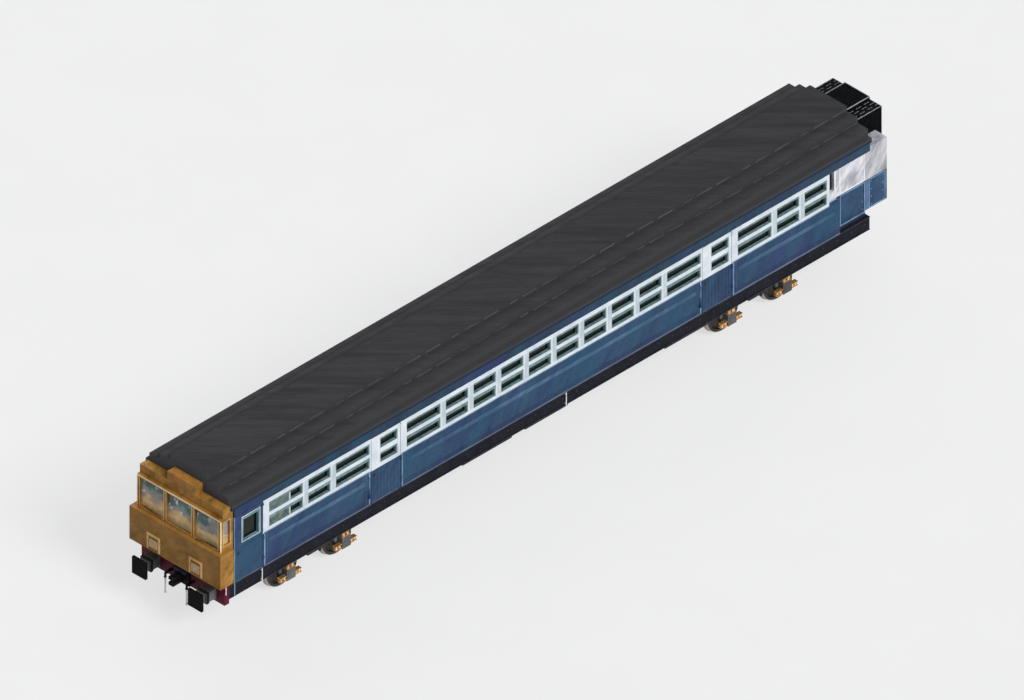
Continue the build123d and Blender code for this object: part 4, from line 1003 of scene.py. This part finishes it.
white_frames = Piece("end_frames_upper", CLEAN_WHITE, "white_paint")
blue_frames = Piece("end_frames_lower", PALE_BLUE, "blue_paint")
posts = Piece("end_posts", POST_BLUE, "blue_paint")
kicks = Piece("end_kick_strips", BLUE, "blue_paint")
end_studs = Piece("end_panel_rivets", PALE_BLUE, "blue_paint")
SLIT_REACH = 0.295
POST, POST_EDGE = 0.15, 0.045
CORNER_POST = 0.115
KICK_TOP = FLOOR_TOP + 0.035
PANEL_BACK = BOX_FRONT + 0.004
STUD_SIZE = 0.016, 0.009
post_front = WALL_FRONT - SLIT_REACH
corner_post = BOX_FRONT - CORNER_POST
on_box = BOX_SIDE - SUNK
for sign in BOTH_SIDES:
    side_y = sign * BOX_SIDE
    y0, y1 = ordered(sign, on_box, BOX_SIDE + 0.008)
    white_frames.bar((post_front - POST_EDGE, y0, WAIST), (post_front, y1, CANTRAIL))
    panel_frame(white_frames, (PANEL_BACK + 0.002, side_y, WAIST + 0.01),
                (post_front - POST, side_y, CANTRAIL - 0.01), POST_EDGE, 0.007)
    panel_frame(blue_frames, (PANEL_BACK + 0.002, side_y, KICK_TOP + 0.005),
                (LOWER_BACK - 0.135, side_y, WAIST - 0.015), 0.03)
    y0, y1 = ordered(sign, on_box, BOX_SIDE + 0.006)
    kicks.bar((PANEL_BACK, y0, FLOOR_TOP), (LOWER_BACK - 0.002, y1, KICK_TOP))
    panel_frame(blue_frames, (BOX_BACK + 0.05, side_y, BOX_LOW + 0.02),
                (BOX_FRONT - 0.12, side_y, WAIST - 0.02), 0.02)
    y0, y1 = ordered(sign, on_box, BOX_SIDE + 0.004)
    posts.bar((corner_post, y0, BOX_LOW + 0.002), (BOX_FRONT - 0.002, y1, WAIST - 0.01))
    posts.bar((BOX_BACK + 0.002, y0, BOX_LOW + 0.002), (corner_post, y1, BOX_LOW + 0.02))
    blue_frames.frame("X", (BOX_BACK - 0.006, BOX_BACK + SUNK),
                      ordered(sign, BOX_INNER + 0.02, BOX_SIDE - 0.02),
                      (BOX_LOW + 0.02, WAIST - 0.02), (0.022,) * 4, posts=False)
    for z in steps(BOX_LOW + 0.08, WAIST - 0.1, 0.25):
        for x in (BOX_BACK + 0.12, BOX_FRONT - 0.19, PANEL_BACK + 0.08, LOWER_BACK - 0.1):
            end_studs.stud((x, side_y, z), (0, sign, 0), *STUD_SIZE)
        for y in (BOX_INNER + 0.07, BOX_SIDE - 0.07):
            end_studs.stud((BOX_BACK, sign * y, z), (-1, 0, 0), *STUD_SIZE)
for piece in (white_frames, blue_frames, posts, kicks):
    piece.done(0.0015)
end_studs.done(smooth=True)

# ----------------------------------------------------------------- gangway
bellows_low, bellows_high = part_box("gangway_bellows")
bellows = [vertex.co for vertex in nodes["gangway_bellows"].data.vertices]
CROWN_HALF = max(point.y for point in bellows if point.z > bellows_high.z - 0.001)
SHELF = max(point.z for point in bellows if point.y > bellows_high.y - 0.001)
FOLD_HALF = 0.016
folds = Piece("bellows_folds", RUBBER, "rubber")
lines = Piece("bellows_lines", BELLOWS_LINE, "rubber")
for index, x in enumerate(steps(bellows_low.x, bellows_high.x, 0.08, 0.05)):
    folds.bar((x - FOLD_HALF, -CROWN_HALF + 0.02, bellows_high.z - 0.004),
              (x + FOLD_HALF, CROWN_HALF - 0.02, bellows_high.z + 0.012))
    folds.sides(x - FOLD_HALF, x + FOLD_HALF, bellows_high.y - 0.003,
                bellows_high.y + 0.007, bellows_low.z + 0.04, SHELF - 0.04)
    for place in range(4):
        y = CROWN_HALF + 0.06 + place * (bellows_high.y - CROWN_HALF - 0.08) / 3
        if (index + place) % 3:
            lines.sides(x - 0.03, x + 0.035, y - 0.004, y + 0.004, SHELF - SUNK, SHELF + 0.005)
for y, half, z, proud in ((CROWN_HALF - 0.008, 0.009, bellows_high.z, 0.014),
                          (bellows_high.y - 0.006, 0.006, SHELF, 0.006)):
    lines.sides(bellows_low.x + 0.01, bellows_high.x, y - half, y + half, z - SUNK, z + proud)
lines.bar((bellows_low.x, -CROWN_HALF, bellows_high.z - SUNK),
          (bellows_low.x + 0.014, CROWN_HALF, bellows_high.z + 0.013))
folds.done(0.006)
lines.done(0.0015)

# --------------------------------------------------------------- cab front
(_, _, SCREEN_LOW), (SCREEN, _, SCREEN_HIGH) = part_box("cab_front_frame")
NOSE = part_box("nose_box")[1].x
SCREEN_PANES = (-1.185, -0.465), (-0.375, 0.375), (0.465, 1.185)
HEADER_HALF = 1.258
CORNER_MOULDING = 1.252, 1.268
PANE_EDGE, CORNER_EDGE = 0.022, 0.016
CORNER_FACE, CORNER_PANE = 1.264, 1.15
front_lines = Piece("windscreen_mouldings", PALE_YELLOW, "yellow_paint")
# Cream mouldings along the top edge and up the corners of the cab front, their light tone a
# painted highlight along those edges.
corner_highlight_lines = Piece("corner_mouldings", CREAM, "yellow_paint")
corner_highlight_lines.bar((SCREEN - SUNK, -HEADER_HALF, SCREEN_HIGH - 0.046),
                 (SCREEN + 0.012, HEADER_HALF, SCREEN_HIGH - 0.014))
corner_highlight_lines.sides(SCREEN - 0.034, SCREEN + 0.006, *CORNER_MOULDING,
                   SCREEN_LOW, SCREEN_HIGH - 0.05)
for y0, y1 in SCREEN_PANES:
    front_lines.frame("X", (SCREEN - SUNK, SCREEN + 0.006), (y0 - PANE_EDGE, y1 + PANE_EDGE),
                      (PANE_BOTTOM - 0.012, PANE_TOP + 0.006),
                      (PANE_EDGE, PANE_EDGE, 0.018, 0.0))
for sign in BOTH_SIDES:
    for low, high in solids("windscreens"):
        # The right-hand front pane passes too, so that corner has a second surround.
        if low.y * sign > CORNER_PANE:
            front_lines.surround(sign * CORNER_FACE, sign, low.x - CORNER_EDGE,
                                 high.x + CORNER_EDGE, low.z - CORNER_EDGE,
                                 high.z + CORNER_EDGE, (CORNER_EDGE,) * 4, 0.006)
front_lines.done(0.0015)
corner_highlight_lines.done(0.002)
wipers = Piece("wipers", BLACK, "black_paint")
for y, lean in ((-0.55, -0.5), (0.55, 0.5)):
    foot = Vector((SCREEN + 0.008, y, PANE_BOTTOM - 0.006))
    tip = foot + Vector((-0.004, lean, 0.055))
    blade = [tip + Vector((-0.012, lean * along, rise))
             for along, rise in ((-0.5, 0.0), (0.16, 0.006))]
    wipers.disc((SCREEN - 0.004, y, PANE_BOTTOM - 0.014), (1, 0, 0), 0.018, 0.016)
    for rod in ([foot, tip], blade):
        wipers.tube(rod, 0.005, 6)
wipers.done()
lamp_rims = Piece("lamp_bezels", PALE_YELLOW, "yellow_paint")
lamp_glasses = Piece("lamp_lenses", LAMP, "lamp")
lens_low, lens_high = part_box("marker_lamps")
LENS_WIDTH = 0.21
BEZEL = 0.014
for sign in BOTH_SIDES:
    y0, y1 = ordered(sign, lens_high.y - LENS_WIDTH, lens_high.y)
    lamp_rims.frame("X", (NOSE - SUNK, lens_high.x + 0.006), (y0 - BEZEL, y1 + BEZEL),
                    (lens_low.z - BEZEL, lens_high.z + BEZEL), (BEZEL,) * 4, posts=False)
    for y in steps(y0, y1, 0.022, 0.012):
        lamp_glasses.bar((lens_high.x - 0.001, y - 0.006, lens_low.z + 0.008),
                         (lens_high.x + 0.003, y + 0.006, lens_high.z - 0.008))
lamp_rims.done(0.002)
lamp_glasses.done(0.001)

# ------------------------------------------------------ buffers and beam
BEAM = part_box("headstocks")[1].x
BUFFER_Y, BUFFER_Z = 0.850, 0.965
COLLAR_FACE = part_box("buffer_housings")[1].x
COLLAR_HALF = 0.155, 0.135
COLLAR = 0.005
bolts = Piece("buffer_bolts", HOUSING, "housing_iron")
collars = Piece("buffer_collars", BLACK, "black_paint")
for sign in BOTH_SIDES:
    for dy in (-0.131, 0.131):
        for dz in (-0.119, 0.119):
            bolts.stud((COLLAR_FACE, sign * BUFFER_Y + dy, BUFFER_Z + dz), (1, 0, 0), 0.012,
                       0.012, 1, 6)
    edges = [(middle - half - COLLAR, middle + half + COLLAR)
             for middle, half in zip((sign * BUFFER_Y, BUFFER_Z), COLLAR_HALF)]
    collars.frame("X", (COLLAR_FACE - 0.082, COLLAR_FACE - 0.004), *edges, (COLLAR,) * 4,
                  posts=False)
bolts.done()
collars.done(0.001)

PIPE_Y, PIPE_REACH = 0.325, 0.216
PIPE_LEVEL, PIPE_TOP, PIPE_FOOT = 0.955, 0.86, 0.45
front_pipes = Piece("brake_pipes", CLEAN_WHITE, "white_paint")
cocks = Piece("brake_pipe_cocks", BLACK, "black_paint")
for sign in BOTH_SIDES:
    x, y = BEAM + PIPE_REACH, sign * PIPE_Y
    front_pipes.tube([(x, y, PIPE_FOOT), (x, y, PIPE_TOP)], 0.019, 14)
    for z in (PIPE_FOOT, PIPE_TOP - 0.05):
        front_pipes.disc((x, y, z), (0, 0, 1), 0.026, 0.04)
    cocks.tube([(BEAM - 0.06, y, PIPE_LEVEL), (x, y, PIPE_LEVEL)], 0.022, 14)
    cocks.tube([(x, y, PIPE_LEVEL + 0.022), (x, y, PIPE_TOP - 0.004)], 0.026, 14)
    for reach in (0.0, 0.07, PIPE_REACH - 0.05):
        cocks.disc((BEAM + reach, y, PIPE_LEVEL), (1, 0, 0), 0.036, 0.022, 6)
    cocks.disc((x, y, PIPE_TOP), (0, 0, 1), 0.034, 0.024, 6)
    for back, front, half, foot, head in ((0.108, 0.126, 0.009, 0.0, 0.05),
                                          (0.06, 0.13, 0.011, 0.046, 0.056)):
        cocks.bar((BEAM + back, y - half, PIPE_LEVEL + foot),
                  (BEAM + front, y + half, PIPE_LEVEL + head))
    side_y = sign * (BODY_SIDE + 0.014)
    front_pipes.tube([(BEAM - 0.03, side_y, 1.05), (BEAM - 0.03, side_y, 1.26)], 0.011)
    for z in (1.09, 1.22):
        y0, y1 = ordered(sign, ON_SIDE, BODY_SIDE + 0.014)
        front_pipes.bar((BEAM - 0.042, y0, z), (BEAM - 0.018, y1, z + 0.02))
front_pipes.done(0.001)
cocks.done(0.001)
jumper = Piece("jumper_box", JUMPER_BLUE, "black_paint")
jumper.bar((BEAM + 0.038, -0.17, 1.088), (BEAM + 0.108, 0.17, 1.165))
jumper.sides(BEAM + 0.104, BEAM + 0.116, 0.02, 0.13, 1.100, 1.153)
jumper.done(0.004)

# ------------------------------------------------------------ running gear
WHEEL_RADIUS = 0.457
TREAD_Y = 0.702, 0.796
SHOE_GAP, SHOE_BACK, SHOE_HALF = 0.008, 0.05, 22     # metres, metres, degrees
SIDE_STUD_Y, SIDE_STUD_Z = 1.02, 0.745
SPRING_WIRE, SPRING_PLATE, SPRING_BACK = 0.011, 0.016, 0.012


def outer_face(low, high):
    """The side of the car that a solid is on, and where its outer face is."""
    return (1, high.y) if low.y > 0 else (-1, low.y)


def bolt_circle(piece, at, out, reach, start, radius, height):
    """Six bolt heads round a point on a face that looks left or right."""
    x, y, z = at
    for part in range(6):
        angle = math.radians(60 * part + start)
        piece.stud((x + reach * math.cos(angle), y, z + reach * math.sin(angle)),
                   (0, out, 0), radius, height, 1, 6)


for bogie in ("front", "rear"):
    body = f"bogie_{bogie}"
    coils = Piece(f"coil_springs_{bogie}", BRASS, "brass", body)
    plates = Piece(f"spring_plates_{bogie}", BRASS, "brass", body)
    for low, high in solids(f"springs_{bogie}"):
        quarter = (high.x - low.x) / 4
        radius = min(quarter, (high.y - low.y) / 2) - SPRING_WIRE - 0.001
        y = (low.y + high.y) / 2
        for x in (low.x + quarter, high.x - quarter):
            coils.coil(x, y, low.z + 0.012, high.z - 0.012, radius, SPRING_WIRE, 3)
        for z in (low.z, high.z - SPRING_PLATE):
            plates.bar((low.x, low.y, z), (high.x, high.y, z + SPRING_PLATE))
        inner = low.y if abs(low.y) < abs(high.y) else high.y - SPRING_BACK
        plates.bar((low.x + 0.02, inner, low.z), (high.x - 0.02, inner + SPRING_BACK, high.z))
    coils.done(smooth=True)
    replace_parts(plates.done(0.003), f"springs_{bogie}")
    covers = Piece(f"axlebox_covers_{bogie}", AXLEBOX, "axlebox_iron", body)
    caps = Piece(f"damper_caps_{bogie}", CLEAN_WHITE, "white_paint", body)
    for low, high in solids(f"axleboxes_{bogie}"):
        sign, face = outer_face(low, high)
        x, z = (low.x + high.x) / 2, (low.z + high.z) / 2
        if high.x - low.x > 0.2:
            covers.disc((x, face, z), (0, sign, 0), 0.098, 0.008, 32)
            covers.disc((x, face, z), (0, sign, 0), 0.052, 0.014, 24)
            bolt_circle(covers, (x, face + sign * 0.008, z), sign, 0.078, 30, 0.011, 0.009)
        else:
            caps.bar((low.x - 0.006, low.y - 0.006, high.z - 0.07),
                     (high.x + 0.006, high.y + 0.006, high.z + 0.004))
    covers.done(0.002)
    caps.done(0.004)
    brakes = Piece(f"brake_gear_{bogie}", STEEL, "frame_steel", body)
    frame_low, frame_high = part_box(f"bogie_frame_{bogie}")
    centre = (frame_low.x + frame_high.x) / 2
    for place in ("leading", "trailing"):
        low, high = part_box(f"wheelset_{bogie}_{place}")
        x, z = (low.x + high.x) / 2, (low.z + high.z) / 2
        inward = 180 if x > centre else 0
        towards = math.copysign(1, centre - x)
        for sign in BOTH_SIDES:
            y0, y1 = ordered(sign, *TREAD_Y)
            brakes.shoe(x, z, y0, y1, WHEEL_RADIUS + SHOE_GAP, WHEEL_RADIUS + SHOE_BACK,
                        inward - SHOE_HALF, inward + SHOE_HALF)
            face = x + towards * (WHEEL_RADIUS + SHOE_BACK)
            y = (y0 + y1) / 2
            brakes.tube([(face, y, z), (face + towards * 0.012, y, z + 0.22),
                         (centre - towards * 0.2, y, z + 0.24)], 0.014, 8)
        beam = x + towards * (WHEEL_RADIUS + 0.062)
        brakes.tube([(beam, -0.78, z - 0.02), (beam, 0.78, z - 0.02)], 0.02, 10)
    for sign in BOTH_SIDES:
        for x in steps(frame_low.x, frame_high.x, 0.17, 0.06):
            brakes.stud((x, sign * SIDE_STUD_Y, SIDE_STUD_Z), (0, sign, 0), 0.013, 0.009, 1, 6)
    brakes.done()

# ------------------------------------------------------------- under floor
box_trim = Piece("underfloor_lids", BLACK, "black_paint")
box_lines = Piece("underfloor_edges", ROOF_LINE, "black_paint")
catches = Piece("underfloor_catches", HOUSING, "housing_iron")
for low, high in solids("underfloor_boxes"):
    sign, face = outer_face(low, high)
    out = sorted((face - sign * SUNK, face + sign * 0.010))
    middle_x = (low.x + high.x) / 2
    for x0, x1 in ((low.x + 0.03, middle_x - 0.02), (middle_x + 0.02, high.x - 0.03)):
        panel_frame(box_trim, (x0, face, low.z + 0.03), (x1, face, high.z - 0.12), 0.03, 0.009)
        for x in (x0 + 0.12, x1 - 0.12):
            catches.bar((x - 0.02, out[0], high.z - 0.145), (x + 0.02, out[1], high.z - 0.085))
            catches.stud((x, face + sign * 0.008, high.z - 0.115), (0, sign, 0), 0.01, 0.01)
    edge = sorted((face - sign * 0.012, face + sign * 0.003))
    box_lines.bar((low.x, edge[0], low.z - 0.003), (high.x, edge[1], low.z + 0.01))
    for x in (low.x + 0.1, high.x - 0.15):
        box_trim.bar((x, low.y + 0.01, low.z - 0.006), (x + 0.05, high.y - 0.01, low.z + SUNK))
box_trim.done(0.002)
box_lines.done(0.0015)
catches.done(0.0015)

CRANK_RISE, CASE_PROUD = 0.215, 0.03
cases = Piece("engine_covers", STEEL, "frame_steel")
for low, high in solids("engines"):
    crank = low.z + CRANK_RISE
    for x in steps(low.x, high.x, 0.29, 0.2):
        for sign, face in ((1, high.y), (-1, low.y)):
            cases.disc((x, face, crank), (0, sign, 0), 0.1, CASE_PROUD, 28)
            bolt_circle(cases, (x, face + sign * CASE_PROUD, crank), sign, 0.08, 0, 0.01, 0.01)
    for y in steps(low.y, high.y, 0.3, 0.05):
        cases.bar((low.x + 0.05, y - 0.015, low.z - 0.02),
                  (high.x - 0.05, y + 0.015, low.z + SUNK))
    for end, out in ((low.x, -1), (high.x, 1)):
        cases.disc((end, 0, crank), (out, 0, 0), 0.16, CASE_PROUD, 32)
        cases.disc((end + out * CASE_PROUD, 0, crank), (out, 0, 0), 0.06, 0.05, 24)
cases.done(0.003)

# ---------------------------------------------------------------- interior
CAB_FLOOR_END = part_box("cab_seals")[0].x - 0.05
floor_cover = Piece("floor_covering", LINO, "interior_plastic")
for back, front, half in ((END_BACK + 0.06, LOWER_BACK + 0.3, 1.06),
                          (LOWER_BACK + 0.34, CAB_FLOOR_END, 1.15)):
    floor_cover.bar((back, -half, FLOOR_TOP - 0.001), (front, half, FLOOR_TOP + 0.004))
floor_cover.done()
padding = Piece("seat_cushions", FABRIC, "seat_fabric")
shells = Piece("seat_shells", PLASTIC, "interior_plastic")
handles = Piece("seat_handles", SILVER, "brass")
for low, high in solids("seats"):
    width = high.y - low.y
    places = 2 if width > 0.6 else 1
    cloth = width - 0.024
    for place in range(places):
        y0 = low.y + 0.012 + place * cloth / places
        y1 = y0 + cloth / places - 0.006
        padding.cushion((low.x + 0.095, y0, low.z + 0.31), (high.x - 0.004, y1, low.z + 0.43))
        padding.cushion((low.x + 0.028, y0, low.z + 0.42), (low.x + 0.108, y1, high.z - 0.015))
    shells.bar((low.x + 0.004, low.y + 0.006, low.z + 0.28),
               (low.x + 0.034, high.y - 0.006, high.z - 0.03))
    shells.bar((low.x + 0.03, low.y + 0.01, low.z + 0.285),
               (high.x - 0.03, high.y - 0.01, low.z + 0.318))
    for y in (low.y + 0.06, high.y - 0.09):
        shells.bar((low.x + 0.1, y, low.z), (high.x - 0.14, y + 0.03, low.z + 0.29))
    if places == 2:
        y = low.y + 0.05 if low.y > 0 else high.y - 0.05
        handles.tube([(low.x + 0.02, y + across, high.z - down) for across, down in (
            (-0.03, 0.03), (-0.03, 0.002), (0.03, 0.002), (0.03, 0.03))], 0.008, 8)
cushions = padding.done(smooth=True)
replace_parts(cushions, "seats")
shells.done(0.006)
handles.done()

desk_low, desk_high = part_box("driver_desk")
desk_trim = Piece("desk_top", WOOD, "interior_wood")
desk_trim.bar((desk_low.x + 0.13, desk_low.y, desk_high.z - 0.001),
              (desk_high.x, desk_high.y, desk_high.z + 0.012))
desk_trim.done(0.003)
dials = Piece("desk_dials", GAUGE, "black_paint")
bezels = Piece("desk_bezels", SILVER, "brass")
slope = Vector((-1, 0, 1)).normalized()
for y in (0.32, 0.46, 0.60, 0.74):
    at = Vector((desk_low.x + 0.06, y, desk_high.z - 0.06))
    bezels.disc(at, slope, 0.048, 0.008, 28)
    dials.disc(at + slope * 0.008, slope, 0.041, 0.002, 28)
for y, height in ((0.15, 0.12), (0.92, 0.1)):
    bezels.tube([(desk_low.x + 0.2, y, desk_high.z),
                 (desk_low.x + 0.17, y, desk_high.z + height)], 0.008)
    dials.stud((desk_low.x + 0.17, y, desk_high.z + height - 0.008), slope, 0.02, 0.03, 3, 12)
dials.done()
bezels.done(0.001)

# ------------------------------------------------------------------- stage
FLOOR_GLOW = 0.66


def background_rays(tree):
    """1 for the rays that show the plain pale background: seen, mirrored or through glass."""
    path = tree.nodes.new("ShaderNodeLightPath")
    total = path.outputs["Is Camera Ray"]
    for ray in ("Is Glossy Ray", "Is Transmission Ray"):
        larger = tree.nodes.new("ShaderNodeMath")
        larger.operation = "MAXIMUM"
        tree.links.new(total, larger.inputs[0])
        tree.links.new(path.outputs[ray], larger.inputs[1])
        total = larger.outputs[0]
    return total


FLOOR_REACH = 400.0
plane = bpy.data.meshes.new("floor")
plane.from_pydata([(x * FLOOR_REACH, y * FLOOR_REACH, 0)
                   for x, y in ((-1, -1), (1, -1), (1, 1), (-1, 1))], [], [(0, 1, 2, 3)])
floor = bpy.data.objects.new("floor", plane)
bpy.context.scene.collection.objects.link(floor)
ground = Finish("floor", 0.9, Specular_IOR_Level=0.0)
tone = ground.ramp(ground.noise(0.4, 2.0), (0.3, (214, 214, 214)), (0.7, (220, 220, 220)))
ground.wire(Base_Color=tone)
output = ground.tree.nodes["Material Output"]
glow = ground.add("Emission", {"Color": (1, 1, 1, 1), "Strength": 1.0})
seen = ground.times(background_rays(ground.tree), FLOOR_GLOW)
shown = ground.add("MixShader", {0: seen, 1: ground.shader.outputs[0], 2: glow})
ground.tree.links.new(shown, output.inputs["Surface"])
floor.data.materials.append(ground.material)

world = bpy.data.worlds.new("studio")
bpy.context.scene.world = world
world.use_nodes = True
sky = world.node_tree
dim = sky.nodes["Background"]
dim.inputs["Color"].default_value = (0.93, 0.96, 1.0, 1)
dim.inputs["Strength"].default_value = 0.32
plain = sky.nodes.new("ShaderNodeBackground")
plain.inputs["Color"].default_value = (0.93, 0.93, 0.93, 1)
both = sky.nodes.new("ShaderNodeMixShader")
sky.links.new(background_rays(sky), both.inputs[0])
sky.links.new(dim.outputs[0], both.inputs[1])
sky.links.new(plain.outputs[0], both.inputs[2])
sky.links.new(both.outputs[0], sky.nodes["World Output"].inputs[0])

for label, strength, spread, source in (
        ("key", 2.25, 25, (0.0, 0.76, 0.64)), ("rear", 0.75, 50, (-0.5, -0.8, 0.5))):
    light = bpy.data.lights.new(label, "SUN")
    light.energy = strength
    light.angle = math.radians(spread)
    lamp = bpy.data.objects.new(label, light)
    lamp.rotation_euler = Vector(source).to_track_quat("Z", "Y").to_euler()
    bpy.context.scene.collection.objects.link(lamp)
